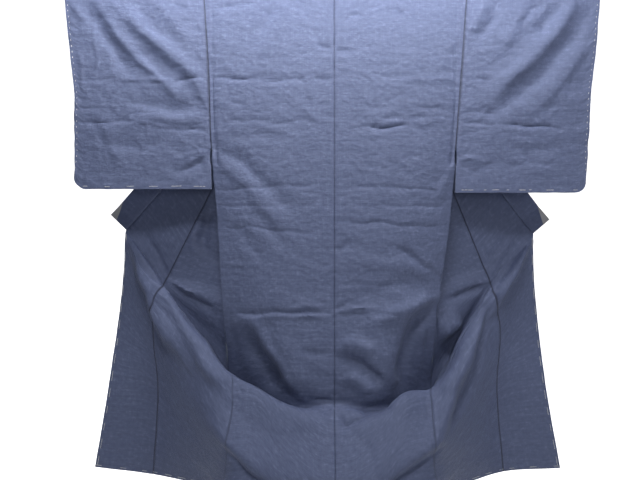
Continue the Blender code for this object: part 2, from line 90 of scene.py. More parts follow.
# Rows from each named section to the next, and the coarse ones that the collar turns by
ROW_STEPS = {"neck": 40, "point": 54, "underarm": 56, "waist": 56, "lip": 14, "floor": 14,
             "rim": 22, "ramp": 24, "crest": 24, "skirt": 24}
COARSE_STEPS = {"neck": 4, "point": 3, "underarm": 2, "waist": 2}
UPPER = ("neck", "point", "underarm", "waist", "lip")
LOWER = ("floor", "rim", "ramp", "crest", "skirt", "hem")
COLUMNS = {"centre": 0.0, "half": 15.0, "outer": 22.5, "side": 30.0,
           "front": 42.0, "okumi": 54.0, "edge": 69.6}
EVENNESS = {"floor": 0.0, "rim": 0.3, "ramp": 0.7, "crest": 1.0, "skirt": 1.0, "hem": 1.0}
SIDE_SPREAD = {"neck": 2.8, "point": 2.3, "underarm": 0.9, "waist": 0.6, "lip": 0.6}
FRONT_RISE = {"neck": 0.0, "point": 0.5, "underarm": 1.2, "waist": 1.2, "lip": 1.0}
RISE_REACH = 5.0
print("Sections of each half, from the rod to the hem:", len(UPPER) + len(LOWER))

# %% [markdown]
# ## Where the cloth hangs
# Each row of these tables is a level line through one half of the garment: across, depth and
# height where it meets the centre, half, outer and side columns. Below the lip the whole skirt
# sags between the two corners that hold the fronts open, so the lower rows go on through the
# front, the okumi seam and the front edge.
# %% Sections
LEFT_BACK = {
    "neck": ((0, -1.4, 0), (16.0, -1.4, 0), (24.0, -1.4, 0), (31.9, -1.4, 0)),
    "point": ((0, -1.5, -17.8), (15.5, -2.0, -17.8), (23.3, -1.7, -17.8), (30.8, -1.1, -17.8)),
    "underarm": ((0, -1.7, -45), (15.0, -2.5, -43), (22.5, -2.0, -40.8), (30.1, -0.9, -38.8)),
    "waist": ((0, -1.8, -72), (14.6, -2.6, -68), (21.9, -1.8, -61), (28.8, 0.0, -56)),
    "lip": ((0, -1.6, -98), (12.6, -1.5, -92), (20.0, -0.8, -82.5), (27.7, 0.8, -76.5)),
}
RIGHT_BACK = {
    "neck": ((0, -1.4, 0), (16.2, -1.4, 0), (24.3, -1.4, 0), (32.4, -1.4, 0)),
    "point": ((0, -1.5, -17.8), (15.7, -2.1, -17.8), (23.5, -1.8, -17.8), (31.2, -1.1, -17.8)),
    "underarm": ((0, -1.7, -45), (14.9, -2.7, -43), (22.3, -2.2, -40.8), (29.7, -0.9, -38.8)),
    "waist": ((0, -1.8, -72), (14.4, -2.5, -68), (21.5, -1.7, -61), (28.5, 0.0, -56)),
    "lip": ((0, -1.6, -98), (13.0, -2.2, -96.5), (19.2, -1.0, -86), (25.8, 1.0, -77)),
}
LEFT_SKIRT = {
    "floor": ((0, -1.2, -101), (13.0, 1.5, -103), (19.7, 4.5, -102), (26.2, 6.0, -98.5),
              (34.0, 9.0, -89), (44.0, 8.1, -72.8), (54.2, 9.9, -59.0)),
    "rim": ((0, -3.0, -102.2), (12.2, -4.0, -100.3), (18.8, -3.0, -96.8), (25.1, -1.5, -93.5),
            (33.5, 3.5, -84.6), (44.2, 7.6, -73.6), (54.2, 9.8, -59.8)),
    "ramp": ((0, -9.0, -109.5), (12.9, -8.5, -108), (19.2, -7.0, -105.3), (24.6, -5.0, -101.2),
             (34.9, 1.5, -89.8), (45.0, 7.8, -77.0), (54.3, 9.9, -60.9)),
    "crest": ((0, -14, -117.4), (13.6, -12.5, -115.8), (19.7, -11, -112.4), (25.6, -8.5, -108.7),
              (36.1, 1.5, -95.3), (46.1, 8.4, -80.3), (54.4, 10.2, -62.4)),
    "skirt": ((0, -14.6, -119.9), (13.6, -12.8, -118.7), (19.7, -11, -116.5), (25.7, -8, -114.5),
              (35.7, 1.8, -108.8), (45.6, 9.6, -100.3), (58.9, 11.2, -98.9)),
    "hem": ((0, -14, -121.9), (13.6, -12, -121.5), (19.9, -9.5, -121), (25.9, -6.5, -120.2),
            (36.1, 2.8, -121.5), (47.0, 10.2, -122), (62.6, 11.5, -120.5)),
}
RIGHT_SKIRT = {
    "floor": ((0, -1.2, -101), (12.3, 0.0, -102.5), (18.5, 3.5, -101.5), (24.6, 6.0, -100.7),
              (32.3, 8.8, -87), (40.5, 8.1, -72.4), (52.0, 9.9, -60.2)),
    "rim": ((0, -3.0, -102.2), (11.4, -4.8, -101.9), (17.1, -3.5, -97.9), (23.6, -1.5, -96.9),
            (32.0, 3.5, -83.8), (40.7, 7.6, -73.2), (52.0, 9.8, -61.0)),
    "ramp": ((0, -9.0, -109.5), (10.8, -9.0, -108.1), (16.6, -8.0, -105), (23.5, -5.0, -102.7),
             (32.4, 1.5, -89.8), (41.5, 7.8, -77.1), (52.0, 9.9, -62.1)),
    "crest": ((0, -14, -117.4), (9.8, -12.8, -116), (15.7, -11.3, -113.2), (23.5, -8.5, -109.4),
              (33.1, 1.5, -96.5), (42.5, 8.4, -80.2), (52.1, 10.2, -63.6)),
    "skirt": ((0, -14.6, -119.9), (10.0, -13, -118.9), (16.0, -11, -117), (23.5, -8, -114.7),
              (33.7, 1.8, -109), (42.5, 9.6, -100.3), (55.5, 11.2, -97.6)),
    "hem": ((0, -14, -121.9), (10.1, -12, -121.6), (16.1, -9.5, -121.3), (23.6, -6.5, -120.4),
            (33.6, 2.8, -121.6), (44.3, 10.2, -121.3), (59.6, 11.5, -120.8)),
}
# No stretch of cloth between two sections counts as shorter than this
SHORTEST_RUN = 0.05
# Where a front meets its okumi, before it is turned back
FRONT_SEAM = {"height": (-40.0, -POINT_DROP, 2.2), "across": (6.0, 6.5, NECK_HALF)}
# The line that each front turns back along: a point on it and its tilt in degrees; and how low
# the okumi seam and the front edge come at the lip
LEFT_FOLD = {"across": 6.95, "height": -2.4, "tilt": 13.55, "lip_okumi": -81.3, "lip_edge": -73.6}
RIGHT_FOLD = {"across": 8.62, "height": -2.4, "tilt": 11.3, "lip_okumi": -78.4, "lip_edge": -71.5}
# The roll's radius, how much of the room beside the line it takes, its share of the columns
# past the line, and how soon and how far columns gather there; then the slope of what lies back
ROLL_RADIUS = 2.0
ROLL_TAPER = 0.55
ROLL_SHARE = 3 / 8
FOLD_START = 6.0
FOLD_MARGIN = 0.1
LAY_BACK = 0.16
# Which way the collar stands, beside the neck and at the back of it
COLLAR_STAND = (-0.12, -0.08, 0.99)
COLLAR_CENTRE = (0.0, -0.08, 0.99)
# Where each sleeve's outer edge is at four heights, and how low its foot is
LEFT_SLEEVE = {"heights": (0, -15, -25, -48.3), "outer": (66.3, 64.9, 63.8, 63.8), "foot": -48.3}
RIGHT_SLEEVE = {"heights": (0, -15, -25, -49.2), "outer": (65.3, 64.2, 63.0, 61.8), "foot": -49.2}
print("Tilt of the fold lines in degrees:", LEFT_FOLD["tilt"], "and", RIGHT_FOLD["tilt"])

# %% [markdown]
# ## Folds and creases
# Cloth that has been stored folded and then hung keeps soft rolls where its weight pulls from
# a corner, and sharp creases where it was folded flat. Each row is one of them, read off the
# garment: half width, rise (below zero for a trough), and the points that it runs through.
# Soft ones swell round their path, crisp ones come to an edge.
# %% Folds of the back
LEFT_BACK_SOFT = (
    (1.8, -0.30, ((14, -3), (19, -10), (22.5, -16))),
    (1.8, 0.22, ((11, -1), (15, -9), (19, -17))),
    (1.6, -0.38, ((29.5, -38), (23, -41.5), (16, -48.5), (9, -55.5))),
    (1.6, 0.25, ((29.5, -41), (24.5, -44.5), (18.5, -51), (12, -59))),
    (1.5, -0.22, ((20.5, -54), (15, -59), (10.5, -63.5))),
    (1.5, -0.22, ((25, -57), (20.5, -62), (17, -66.5))),
    (1.4, -0.15, ((24.5, -36.5), (17.5, -35.5), (11, -37))),
    (1.6, 0.45, ((26, -81.5), (17.5, -81))),
    (2.4, -1.60, ((22.5, -84.5), (18.5, -91.5), (13, -98.5))),
    (1.4, 0.85, ((19.5, -81.5), (17, -86), (13, -92.4), (8.4, -99.5))),
    (1.8, -0.70, ((25.5, -84), (24, -92))),
    (2.0, 0.45, ((14, -84), (10, -92), (6, -98))),
    (1.2, -0.25, ((8.5, -88.5), (4, -89), (0.3, -88.5))),
)
LEFT_BACK_CRISP = (
    (0.5, -0.18, ((30, -21.3), (24, -21.6), (18.5, -21.6), (17.5, -22.3))),
    (0.5, -0.16, ((17.5, -21.8), (9, -21.8), (7, -22.3))),
    (0.4, -0.20, ((4.5, -21.3), (3, -21.8), (0.3, -22.3))),
    (0.3, 0.12, ((8.5, -19.5), (7, -21.8))),
    (0.5, -0.20, ((4.5, -13.8), (0.3, -14))),
    (0.3, -0.05, ((11, -15.5), (0.3, -15.5))),
    (0.35, -0.15, ((6.7, -5.7), (5.2, -8.2))),
    (0.35, -0.15, ((5.5, -9), (4.2, -12))),
    (0.4, -0.10, ((29, -3.5), (24.5, -3.6), (18.5, -3))),
    (0.3, 0.10, ((29.6, -28), (26.7, -27))),
    (0.4, -0.10, ((26, -27.5), (21.5, -28))),
    (0.5, -0.14, ((27.5, -32.3), (19.5, -31.8), (14.5, -32.6), (11, -32.1), (6.5, -31.4))),
    (0.4, 0.16, ((7.7, -28.4), (4.2, -31.8))),
    (0.3, -0.10, ((3.5, -27.8), (0.3, -28))),
    (0.3, -0.12, ((3, -30.4), (0.3, -31))),
    (0.3, -0.13, ((29.6, -48.7), (20.5, -48.2), (0.3, -47.6))),
    (0.3, -0.08, ((29, -52.5), (0.3, -52.5))),
    (0.4, -0.13, ((28.5, -58), (25, -58.2), (21.5, -57.5), (15, -58.5), (5, -59.7))),
    (0.3, 0.08, ((28, -67.1), (17.5, -67.3))),
    (0.3, 0.08, ((8, -67.2), (4, -67.1))),
    (0.4, -0.26, ((27, -79.4), (18, -79), (10, -78.4), (3.3, -78.4), (0.3, -78.5))),
    (0.4, 0.12, ((27, -80.4), (18, -80), (10, -79.4), (3.3, -79.4), (0.3, -79.5))),
    (0.5, 0.18, ((10.3, -77.7), (7, -77), (4.5, -77), (3, -78.2))),
    (0.3, 0.12, ((9, -79.5), (3.5, -79.3))),
    (0.4, -0.20, ((5.5, -100), (0.3, -100.7))),
)
RIGHT_BACK_SOFT = (
    (1.9, 1.00, ((10, -80.5), (16, -78.5), (22, -76), (25.5, -75.5))),
    (2.2, -0.35, ((4, -76), (15, -72), (26, -70.5))),
    (0.9, -0.36, ((14.3, -62), (19.7, -65.3), (25, -69.4))),
    (1.6, 0.20, ((4, -66.3), (16, -66.3), (22, -69))),
    (0.7, -0.22, ((0.2, -64.3), (2.4, -62.6), (4.3, -61))),
    (1.5, 0.28, ((25, -50.5), (27.3, -46), (29.5, -41.5))),
    (1.0, -0.12, ((17.3, -32.3), (23.4, -30))),
    (1.8, 0.80, ((1.5, -86.5), (5, -86), (10.5, -88))),
    (1.5, -0.95, ((1, -89.5), (6.3, -91), (12.4, -96.6))),
    (1.5, 0.60, ((2, -95), (5.3, -94.5), (9.7, -98.5))),
    (1.7, -1.70, ((25, -78), (21, -80.5), (18.7, -86), (18, -91), (17, -97))),
    (2.6, -1.00, ((22.5, -84), (21.5, -96))),
    (1.0, 0.60, ((22, -83), (22.5, -88.5), (22, -94.5))),
    (1.5, -0.20, ((18.5, -34), (26, -33.5))),
)
RIGHT_BACK_CRISP = (
    (0.4, -0.15, ((1.4, -7), (2.8, -6.7), (4.3, -6), (6.5, -5.7))),
    (0.4, -0.12, ((15, -4.5), (17, -5.7))),
    (0.5, -0.20, ((0.4, -14.5), (4.3, -14.7))),
    (0.25, -0.04, ((4.3, -15.7), (30.7, -15.7))),
    (0.4, -0.10, ((10, -20.4), (14, -21), (16.5, -20.6))),
    (0.3, 0.08, ((17.3, -22.8), (19.7, -21.6), (30.7, -21.8))),
    (0.35, -0.08, ((10.7, -26.7), (15, -26.2))),
    (0.3, -0.10, ((9.5, -28.5), (13.3, -28.4))),
    (0.45, -0.15, ((4.3, -31.6), (6.8, -30))),
    (0.35, -0.15, ((11, -31), (16.5, -31))),
    (0.35, -0.12, ((20.7, -28.4), (26.3, -29))),
    (0.4, -0.25, ((6.8, -33), (11.6, -33.4), (18.2, -33))),
    (0.3, -0.08, ((18.5, -31), (30, -31))),
    (0.3, -0.13, ((0.3, -47.7), (11, -48), (28, -48.7))),
    (0.25, -0.08, ((0.4, -52.4), (28, -52.6))),
    (0.35, -0.14, ((1, -56.5), (4.5, -57), (11.7, -56.6), (20, -57.4), (28, -57.4))),
    (0.25, -0.05, ((0.4, -71.6), (19.7, -72))),
    (0.5, 0.20, ((0.7, -78.2), (3.8, -77.5), (7.7, -77.3), (10.2, -77.7))),
    (0.4, -0.16, ((0.7, -79), (7.7, -79))),
    (0.4, -0.20, ((10, -78.5), (12.4, -79.2), (16, -79.5))),
    (0.4, -0.25, ((0.2, -78), (2.4, -76.3))),
    (0.3, 0.10, ((2, -19.4), (4.3, -19))),
    (0.3, -0.08, ((12, -18.2), (15.5, -17.7))),
)

# %% Folds of the sleeves, the folded-back fronts and the sagging skirt
LEFT_SLEEVE_SOFT = (
    (1.9, 0.75, ((54, -3), (47.5, -9.5), (42, -13.5), (34, -21.5), (31, -26.5))),
    (1.6, 0.45, ((58, -2.5), (53.5, -10.5), (47.5, -16.5), (41.5, -22), (35, -29))),
    (1.6, -0.50, ((49.5, -13.5), (45, -17), (40, -22.5))),
    (1.8, -0.55, ((61.5, -3), (57.5, -9.5), (53, -16), (48.5, -21))),
    (1.2, 0.30, ((64.5, -3), (60.5, -7.5))),
    (1.3, -0.30, ((49.5, -2.5), (45, -8.5), (38, -14))),
    (2.0, 0.30, ((45, -1.5), (39, -8.5), (34, -15))),
    (1.6, -0.35, ((51.5, -26.5), (43, -28.5), (31.5, -29))),
    (1.2, 0.25, ((50, -32), (43, -31), (31.5, -31.5))),
    (1.5, -0.25, ((56.5, -36.5), (47.5, -38.5), (41.5, -36.5))),
    (1.2, -0.30, ((31.5, -41), (36, -43), (40, -45))),
    (1.5, 0.20, ((58.5, -29), (55, -35), (53, -42.5))),
)
LEFT_SLEEVE_CRISP = (
    (0.4, -0.12, ((64, -21.6), (57.5, -21.9), (53.5, -21.6))),
    (0.35, 0.12, ((53.8, -21.6), (40, -21.6))),
    (0.4, -0.16, ((39.3, -22), (35.5, -21.4), (31.2, -21))),
    (0.4, -0.14, ((63.6, -32.2), (57.5, -31.9), (48.5, -31.9))),
    (0.4, 0.10, ((48.5, -31.9), (44, -32.7), (41.3, -33.4))),
    (0.4, -0.15, ((41.3, -33.7), (35.5, -33.7), (31, -34.2))),
    (0.35, 0.08, ((63, -13.8), (62.2, -19.7), (61.4, -25.3))),
    (0.35, 0.08, ((59.2, -2), (59, -10.3), (58.2, -21.6))),
    (0.3, 0.07, ((33.2, -5), (33, -18))),
    (0.3, 0.14, ((31, -39.6), (33.7, -40.8), (36.5, -42.5))),
    (0.3, -0.14, ((31, -40.3), (33.5, -42), (38, -44.2))),
    (0.3, 0.10, ((31, -38.8), (35.5, -39.8), (39.3, -41))),
    (0.3, -0.10, ((63.4, -28.5), (60.5, -28.8), (57.5, -28.3))),
    (0.3, 0.06, ((56.3, -35.5), (56, -43.5))),
    (0.3, -0.10, ((41, -3), (37, -4), (34, -3.2))),
    (0.3, -0.10, ((34.5, -26), (31.5, -28.3))),
)
RIGHT_SLEEVE_SOFT = (
    (2.0, 0.70, ((59.5, -1), (55.5, -9), (49.5, -15.5), (42, -22.5), (38, -26.5))),
    (1.8, -0.50, ((62.5, -4), (58.5, -12), (53, -18.5), (45.5, -25.5), (39.5, -30))),
    (1.8, 0.40, ((63, -12), (58.5, -18), (52.5, -26), (48, -29.5))),
    (1.4, -0.35, ((55.5, -2.5), (52.5, -7), (49.5, -10.5))),
    (1.3, -0.30, ((51.5, -2), (47.5, -5.5), (45, -9))),
    (1.4, -0.30, ((41, -2), (39, -7), (35.5, -12))),
    (1.6, 0.25, ((37.5, -2), (35.5, -6.5), (33.5, -10.5))),
    (1.6, 0.30, ((48, -3), (44, -9.5), (40.5, -15))),
    (1.2, -0.20, ((33.5, -28), (37, -28.8), (39.7, -29.5))),
    (1.5, -0.20, ((40.5, -36.5), (48, -39), (55.5, -38))),
    (1.3, 0.20, ((55.5, -24), (59, -26.5), (61.3, -29.5))),
    (1.4, -0.20, ((35.5, -43.5), (40.5, -41.5), (47, -43))),
)
RIGHT_SLEEVE_CRISP = (
    (0.4, -0.22, ((40.7, -32.6), (48, -33), (56, -33.2))),
    (0.3, -0.10, ((31.3, -32), (40.7, -32.2))),
    (0.22, -0.14, ((33.6, -1), (31, -34))),
    (0.35, 0.10, ((42, -33.7), (48, -34))),
    (0.35, -0.10, ((56, -32.7), (61.8, -32))),
    (0.3, 0.08, ((31.6, -41.3), (38, -41.3), (45.5, -42))),
    (0.3, -0.10, ((42, -42.5), (48, -42), (55.5, -42.2))),
    (0.4, -0.10, ((50, -8.3), (52, -9), (55, -9.5))),
    (0.35, -0.12, ((29.6, -40.5), (32.3, -39.6), (34.3, -39.3))),
    (0.3, 0.14, ((29.6, -41.3), (32.3, -40.8), (35.3, -40.8))),
    (0.3, -0.10, ((30, -41.8), (32.3, -43.2), (35.3, -44.7))),
    (0.3, -0.12, ((34, -21.4), (37, -21.6), (39, -21.4))),
    (0.35, -0.12, ((32, -29.2), (36, -29.5), (39.7, -29.7))),
    (0.3, -0.10, ((61.3, -16), (63, -15.5))),
    (0.3, -0.10, ((60.3, -22.6), (62.8, -22.1))),
    (0.3, 0.07, ((57, -22), (56.6, -28))),
    (0.3, -0.08, ((31, -35), (34.3, -34.6))),
    (0.3, -0.10, ((44.5, -22.4), (48, -23), (51.7, -22.1))),
    (0.3, 0.06, ((47, -34.5), (46.6, -41.3))),
)
LEFT_FLAP_SOFT = (
    (1.0, -0.60, ((41.5, -73), (36.5, -75.8), (29.5, -79.3))),
    (1.3, 0.40, ((33, -52), (35.5, -60), (36.5, -66))),
    (1.4, -0.80, ((33.5, -52), (32.5, -57), (34.5, -62), (31, -65.5))),
    (0.7, -0.30, ((48.5, -60), (44.5, -67), (42.5, -71))),
    (1.2, -0.25, ((35, -59), (32.5, -61.5))),
    (1.4, 0.20, ((37, -62.5), (32, -64))),
    (1.0, -0.12, ((49.5, -62), (45, -63.5), (39.5, -62))),
)
LEFT_FLAP_CRISP = (
    (0.4, 0.40, ((43, -71.5), (37.5, -73.7), (33.5, -75.6), (28.5, -77.2))),
    (0.3, 0.08, ((48.5, -69), (46, -69.6), (43.5, -71))),
    (0.3, -0.08, ((47.5, -65), (45, -68), (43, -71))),
    (0.3, -0.05, ((42, -61), (38, -61.7))),
    (0.3, -0.05, ((37.7, -76.2), (32.6, -78.3))),
)
RIGHT_FLAP_SOFT = (
    (1.0, -0.80, ((39.5, -72.5), (35, -74.3), (29, -76))),
    (0.7, -0.30, ((48.5, -59.5), (45, -65), (41, -70.5))),
    (2.7, 2.20, ((33, -81), (29.5, -83), (25.5, -84))),
    (1.0, -0.12, ((42.5, -58.5), (39, -61), (36, -60.5))),
)
RIGHT_FLAP_CRISP = (
    (0.4, -0.40, ((39.7, -72), (36, -73.2), (31.5, -74.8), (27.5, -76))),
    (0.3, -0.10, ((45, -66.5), (42.5, -69.4), (40, -72))),
    (0.3, -0.05, ((36.5, -61.4), (41.5, -62.4), (45, -61))),
    (0.3, -0.05, ((37.5, -64), (42.5, -64.5))),
    (0.3, -0.05, ((38, -66.5), (41.7, -68))),
    (0.35, 0.15, ((25.6, -77.5), (26.4, -79.3), (25.4, -83))),
    (0.35, -0.12, ((26.6, -77.8), (27.2, -81), (26, -84))),
)
LEFT_SKIRT_SOFT = (
    (1.0, -0.80, ((25.5, -111), (20.5, -115), (15, -118.5), (8.5, -121))),
    (1.6, 0.45, ((27.5, -107.5), (21.5, -112.5), (16, -116.5))),
    (3.0, 2.00, ((27, -119), (20.5, -121.5), (14, -122.5))),
    (1.4, -0.20, ((31.5, -86.5), (27, -93.5), (20.5, -97.5))),
    (1.2, 0.15, ((33.5, -90), (29, -97))),
    (1.5, -0.15, ((10.5, -105.5), (6, -109), (3.5, -115))),
    (2.2, 2.00, ((51.5, -62), (49, -69), (46.5, -75.5), (44.5, -81), (37.5, -91))),
    (1.8, -1.50, ((40.5, -75.5), (36.4, -80.6), (30.4, -86), (25.9, -91.7))),
    (2.0, 0.90, ((42.5, -75), (37.6, -83.1), (30.8, -93), (26, -98.5))),
    (1.2, -0.18, ((48, -75.5), (45.5, -82.5), (44.5, -92.5))),
    (2.2, 0.15, ((54, -99.5), (49.5, -89.5))),
)
LEFT_SKIRT_CRISP = (
    (0.3, -0.15, ((24.4, -97.6), (23, -97), (22, -97.6))),
    (0.3, -0.18, ((24.4, -99.3), (22.7, -98.8))),
    (0.3, -0.05, ((20.3, -106), (12, -106.5), (0.4, -106.7))),
    (0.3, -0.06, ((26, -109.6), (23.7, -111.8), (22, -114.2))),
    (0.3, -0.05, ((42, -87.8), (38, -87.3))),
    (0.5, 0.30, ((6, -99.6), (0.6, -99.2))),
    (0.4, -0.20, ((4, -102.7), (0.6, -102.4))),
)
RIGHT_SKIRT_SOFT = (
    (1.0, -0.80, ((24.5, -111), (17.5, -115), (12, -118.5), (6, -121))),
    (1.6, 0.45, ((24.5, -108.5), (18, -112.5), (13, -115.5))),
    (3.0, 2.00, ((25, -119), (18.5, -121.5), (12, -122.5))),
    (2.2, -1.60, ((38.5, -75.5), (32.5, -84.5), (27.5, -91.8), (24.2, -96.5))),
    (2.2, 1.30, ((38.5, -76.7), (33.6, -89), (28.5, -97.8), (24.8, -108.8))),
    (1.3, -0.80, ((39.5, -79), (37.2, -90), (33.4, -98), (27, -107))),
    (1.5, 1.80, ((50.5, -60.5), (47.3, -67), (43.2, -75), (41.3, -79))),
    (0.6, -0.50, ((46.3, -66), (42.5, -72.5), (40.3, -76))),
    (0.5, 0.35, ((44.8, -65.2), (40, -71.5))),
    (1.2, -0.18, ((44.5, -73), (41, -82.5), (40, -92.5))),
    (2.0, 0.15, ((49.5, -104), (45.5, -92))),
    (1.2, -0.15, ((4, -106), (8, -110), (9, -116))),
)
RIGHT_SKIRT_CRISP = (
    (0.3, 0.08, ((45, -86), (49, -86))),
    (0.3, 0.10, ((23.5, -97.5), (24, -104), (24, -110))),
    (0.3, 0.08, ((20.5, -108), (24.3, -110.3))),
    (0.7, -0.50, ((0.8, -102.5), (2.7, -105.2), (4.4, -104), (9, -101.8), (13, -100.8))),
    (0.3, -0.05, ((11, -114), (12.8, -117))),
)
SIDES = {
    "left": {"sign": -1, "seeds": {"back": 3, "body": 20, "sleeve": 40},
             "back": LEFT_BACK, "skirt": LEFT_SKIRT, "fold": LEFT_FOLD, "sleeve": LEFT_SLEEVE,
             "back_folds": (LEFT_BACK_SOFT, LEFT_BACK_CRISP),
             "sleeve_folds": (LEFT_SLEEVE_SOFT, LEFT_SLEEVE_CRISP),
             "flap_folds": (LEFT_FLAP_SOFT, LEFT_FLAP_CRISP),
             "skirt_folds": (LEFT_SKIRT_SOFT, LEFT_SKIRT_CRISP)},
    "right": {"sign": 1, "seeds": {"back": 4, "body": 30, "sleeve": 50},
              "back": RIGHT_BACK, "skirt": RIGHT_SKIRT, "fold": RIGHT_FOLD, "sleeve": RIGHT_SLEEVE,
              "back_folds": (RIGHT_BACK_SOFT, RIGHT_BACK_CRISP),
              "sleeve_folds": (RIGHT_SLEEVE_SOFT, RIGHT_SLEEVE_CRISP),
              "flap_folds": (RIGHT_FLAP_SOFT, RIGHT_FLAP_CRISP),
              "skirt_folds": (RIGHT_SKIRT_SOFT, RIGHT_SKIRT_CRISP)},
}
print("Folds placed:", sum(len(kind) for side in SIDES.values()
                          for name, pair in side.items() if name.endswith("folds") for kind in pair))

# %% [markdown]
# ## From sections to rows of points
# A smooth curve runs through every column of the sections, paced by the length of cloth that it
# uses, so that rows of threads stay evenly spaced as they do in real cloth.
# %% Curves
def curve(knots, values, at):
    """A smooth curve through the values at the knots, read at other places."""
    knots = np.asarray(knots, float)
    values = np.asarray(values, float)
    at = np.asarray(at, float)
    slopes = np.gradient(values, knots, axis=0)
    cell = np.clip(np.searchsorted(knots, at, side="right") - 1, 0, len(knots) - 2)
    span = (knots[cell + 1] - knots[cell])[:, None]
    part = (at - knots[cell])[:, None] / span
    start = 1 - 3 * part ** 2 + 2 * part ** 3
    lean_in = (part - 2 * part ** 2 + part ** 3) * span
    lean_out = (part ** 3 - part ** 2) * span
    return (start * values[cell] + (1 - start) * values[cell + 1]
            + lean_in * slopes[cell] + lean_out * slopes[cell + 1])


def row_places(steps):
    """Each row's place, counted in sections."""
    return np.array([k + i / n for k, n in enumerate(steps) for i in range(n)] + [len(steps)])


def lengths(points, axis=0, least=0.0):
    """How much cloth there is from the first point to each of the others, along one way."""
    runs = np.maximum(np.linalg.norm(np.diff(points, axis=axis), axis=-1), least)
    return np.cumsum(np.insert(runs, 0, 0.0, axis=axis), axis=axis)


def loft(sections, steps):
    """Rows of points through the sections, each column paced by its own length."""
    sections = np.asarray(sections, float)
    places = row_places(steps)
    columns = []
    for points in np.swapaxes(sections, 0, 1):
        knots = lengths(points, least=SHORTEST_RUN)
        columns.append(curve(knots, points, np.interp(places, range(len(knots)), knots)))
    return np.stack(columns, axis=1)


def ease(value):
    value = np.clip(value, 0, 1)
    return value * value * (3 - 2 * value)


def cells(count, parts):
    """Places of the fine columns, counted in coarse cells, two of them hard by the seams."""
    inner = np.linspace(0, count, count * parts + 1)[1:-1]
    return np.concatenate(([0, HARD_BY], inner, [count - HARD_BY, count]))


def finer(values, places):
    return np.interp(places, range(len(values)), values)


def between(first, second, share):
    """Rows of values that go from one edge to the other."""
    return first[:, None] + (second - first)[:, None] * share


def strip(first, second):
    """Two edges side by side, as a grid one cell wide."""
    return np.stack((first, second), axis=1)


NECK_PLACES = cells(NECK_CELLS, BODY_PARTS)
FRONT_PLACES = cells(FRONT_CELLS, BODY_PARTS)
BACK_PLACES = np.concatenate((NECK_PLACES, NECK_CELLS + FRONT_PLACES[1:]))
OKUMI_SHARES = cells(OKUMI_CELLS, OKUMI_PARTS)[1:] / OKUMI_CELLS
COLLAR_SHARES = cells(COLLAR_CELLS, COLLAR_PARTS)[1:] / COLLAR_CELLS
NECK_COLUMN = len(NECK_PLACES) - 1
SEAM_COLUMN = len(FRONT_PLACES) - 1
STEPS = list(ROW_STEPS.values())
UPPER_ROWS = row_places(STEPS[:len(UPPER) - 1])
COARSE_ROWS = row_places(list(COARSE_STEPS.values()))
POINT_ROW = ROW_STEPS["neck"]
UNDERARM_ROW = ROW_STEPS["neck"] + ROW_STEPS["point"]
LIP_ROW = len(UPPER_ROWS) - 1
ALL_ROWS = row_places(STEPS)
print("Rows from shoulder to hem:", len(ALL_ROWS), "columns across half the back:", len(BACK_PLACES))

# %% [markdown]
# ## The body, its folded-back front and the collar
# Each front hangs from the shoulder beside the back, then turns back on itself along a slanting
# line, because its edge is held out beyond the side. The turn is a soft roll: half a circle of
# cloth whose radius shrinks where there is little room beside it.
# %% Body grid
def by_section(table):
    return np.interp(UPPER_ROWS, range(len(UPPER)), [table[name] for name in UPPER])


def lay_across(points, names, at):
    """One section's points spread over the columns, the centre seam kept level."""
    knots = [COLUMNS[name] for name in names]
    mirrored = np.multiply(points[1], (-1, 1, 1))
    return curve([-knots[1]] + knots, np.vstack((mirrored, points)), at)


def off_fold(fold, across, height):
    """Distance from the fold line, towards the side of the garment."""
    tilt = math.radians(fold["tilt"])
    return (across - fold["across"]) * math.cos(tilt) + (height - fold["height"]) * math.sin(tilt)


def fold_back(fold, across, height, depth, radius):
    """A flat front turned back round its fold line; gives across, depth and height."""
    tilt = math.radians(fold["tilt"])
    beside = np.array([math.cos(tilt), math.sin(tilt)])
    along = np.array([math.sin(tilt), -math.cos(tilt)])
    away_u = across - fold["across"]
    away_z = height - fold["height"]
    off = away_u * beside[0] + away_z * beside[1]
    run = away_u * along[0] + away_z * along[1]
    quarter = math.pi * radius / 2
    turn = np.clip(-off / radius, -math.pi / 2, math.pi / 2)
    flat = np.abs(off) >= quarter
    wide = np.where(flat, np.abs(off), quarter - radius * np.cos(turn))
    behind = radius * (1 + np.sin(turn)) + LAY_BACK * np.maximum(-off - quarter, 0)
    return np.stack((fold["across"] + run * along[0] + wide * beside[0],
                     depth + behind,
                     fold["height"] + run * along[1] + wide * beside[1]), axis=-1)


def over_rod(top, low):
    """Rows of points over the rod, between the back's top row and the front's."""
    part = np.linspace(0, 1, ARC_CELLS + 1)[1:-1, None]
    across = top[:, 0] + (low[:, 0] - top[:, 0]) * part
    bend = math.pi * (part - 0.5) + 0 * across
    return np.stack((across, DRAPE_RADIUS * np.sin(bend), DRAPE_RADIUS * np.cos(bend)), axis=-1)


def front_shares(near, far, quarter):
    """Where one row's front columns lie across its width, gathered round the fold line."""
    whole = near - far
    roll = quarter / whole
    at = min(near / whole, 1 - FOLD_MARGIN)
    steps = [at, (at + min(roll, at / 2)) / 2, min(roll, at / 2), min(roll / 2, at / 4), 0]
    after = 1 - at
    reach = min(roll, after * ROLL_SHARE)
    roll_cells = round(ROLL_SHARE * (FRONT_CELLS + 1 - len(steps)))
    flat_cells = FRONT_CELLS + 1 - len(steps) - roll_cells
    aligned = np.concatenate((at - np.array(steps), at + np.linspace(0, reach, roll_cells + 1)[1:],
                              at + np.linspace(reach, after, flat_cells + 1)[1:]))
    even = np.linspace(0, 1, FRONT_CELLS + 1)
    return even + (aligned - even) * ease(-far / FOLD_START)


